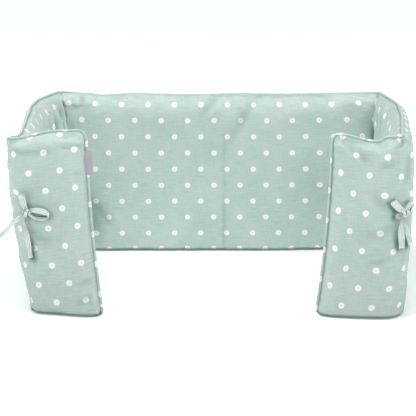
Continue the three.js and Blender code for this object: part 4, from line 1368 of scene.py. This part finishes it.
# ---- floor, light and camera ----
FLOOR_HALF = 6.0
FLOOR_LIT_FROM, FLOOR_LIT_TO = 0.3, 1.2  # the floor glows by emission, painted light, and more far out
FLOOR_NEAR_LIGHT, FLOOR_FAR_LIGHT = 0.2, 1.0
FLOOR_LIGHT = "#ecfffe"  # colour of the floor's painted glow, a little cool
SKY_ZENITH, SKY_HORIZON = 0.1, 0.1  # brightness of the white room overhead and at eye level
Softbox = namedtuple("Softbox", "name place aim size power")
SOFTBOXES = [
    Softbox("overhead_softbox", (-0.25, -0.1, 1.6), (0, 0, 0.1), 1.4, 21.0),
    Softbox("front_softbox", (0, -2.2, 1.6), (0, 0, 0.1), 1.2, 5.5),
    Softbox("left_key", (-1.3, -1.8, 1.3), (0, -0.1, 0.1), 0.45, 3.2),
    Softbox("right_key", (1.3, -1.8, 1.3), (0, -0.1, 0.1), 0.45, 3.2),
    Softbox("left_softbox", (-1.4, -0.3, 1.4), (0, -0.1, 0.1), 0.9, 7.0),
    Softbox("right_softbox", (1.4, -0.3, 1.4), (0, -0.1, 0.1), 0.9, 12.0),
]


def make_room():
    floor_material, tree, shader = bare_material("white_paper_floor", roughness=0.9)
    shader.inputs["Base Color"].default_value = linear("#fdfdfd")
    # The floor's emission is painted light: it glows dim near the middle and full far out, in a cool
    # white.
    shader.inputs["Emission Color"].default_value = linear(FLOOR_LIGHT)
    spot = add(tree, "ShaderNodeTexCoord").outputs["Object"]
    away = add(tree, "ShaderNodeVectorMath", {0: spot}, operation="LENGTH").outputs["Value"]
    far_light = add(
        tree, "ShaderNodeMapRange", {0: away}, interpolation_type="SMOOTHSTEP",
        inputs={1: FLOOR_LIT_FROM, 2: FLOOR_LIT_TO, 3: FLOOR_NEAR_LIGHT, 4: FLOOR_FAR_LIGHT},
    )
    tree.links.new(far_light.outputs[0], shader.inputs["Emission Strength"])
    points = [(x * FLOOR_HALF, y * FLOOR_HALF, 0) for x, y in ((-1, -1), (1, -1), (1, 1), (-1, 1))]
    floor = new_piece("floor", points, [(0, 1, 2, 3)], floor_material, False)
    world = bpy.data.worlds.new("studio")
    world.use_nodes = True
    tree = world.node_tree
    direction = add(tree, "ShaderNodeTexCoord").outputs["Generated"]
    height = add(tree, "ShaderNodeSeparateXYZ", {0: direction}).outputs[2]
    bright = add(
        tree, "ShaderNodeMapRange", {0: height},
        inputs={1: 0.0, 2: 0.8, 3: SKY_HORIZON, 4: SKY_ZENITH},
    )
    tree.links.new(bright.outputs[0], tree.nodes["Background"].inputs[1])
    tree.nodes["Background"].inputs[0].default_value = (1, 1, 1, 1)
    bpy.context.scene.world = world
    for box in SOFTBOXES:
        data = bpy.data.lights.new(box.name, "AREA")
        data.shape = "SQUARE"
        data.size = box.size
        data.energy = box.power
        lamp = bpy.data.objects.new(box.name, data)
        lamp.location = box.place
        aim = Vector(box.aim) - lamp.location
        lamp.rotation_euler = aim.to_track_quat("-Z", "Y").to_euler()
        bpy.context.scene.collection.objects.link(lamp)


def make_camera():
    data = bpy.data.cameras.new("camera")
    data.sensor_width = SENSOR
    data.lens = CAMERA_LENS
    data.clip_end = 50
    camera = bpy.data.objects.new("camera", data)
    down, right, roll = (math.radians(a) for a in (CAMERA_DOWN, CAMERA_RIGHT, CAMERA_ROLL))
    ahead = Vector(
        (math.sin(right) * math.cos(down), math.cos(right) * math.cos(down), -math.sin(down))
    )
    level = Vector((math.cos(right), -math.sin(right), 0))
    upright = level.cross(ahead)
    side = level * math.cos(roll) + upright * math.sin(roll)
    top = -level * math.sin(roll) + upright * math.cos(roll)
    turn = Matrix((side, top, -ahead)).transposed().to_4x4()
    camera.matrix_world = Matrix.Translation(Vector(CAMERA_PLACE) * MM) @ turn
    bpy.context.scene.collection.objects.link(camera)
    bpy.context.scene.camera = camera
    bpy.context.scene.view_settings.view_transform = "Standard"


def main():
    make_camera()
    make_room()
    dotted = printed_cotton("printed_dotted_cotton")
    plain = printed_cotton("plain_tie_cotton", dots=False, base=TIE_SAGE, deep=TIE_DEEP)
    tape = woven_tape("woven_label_tape")
    pad = make_pad(dotted)
    make_piping(dotted)
    make_label(tape)
    make_ties(plain, pad)


main()
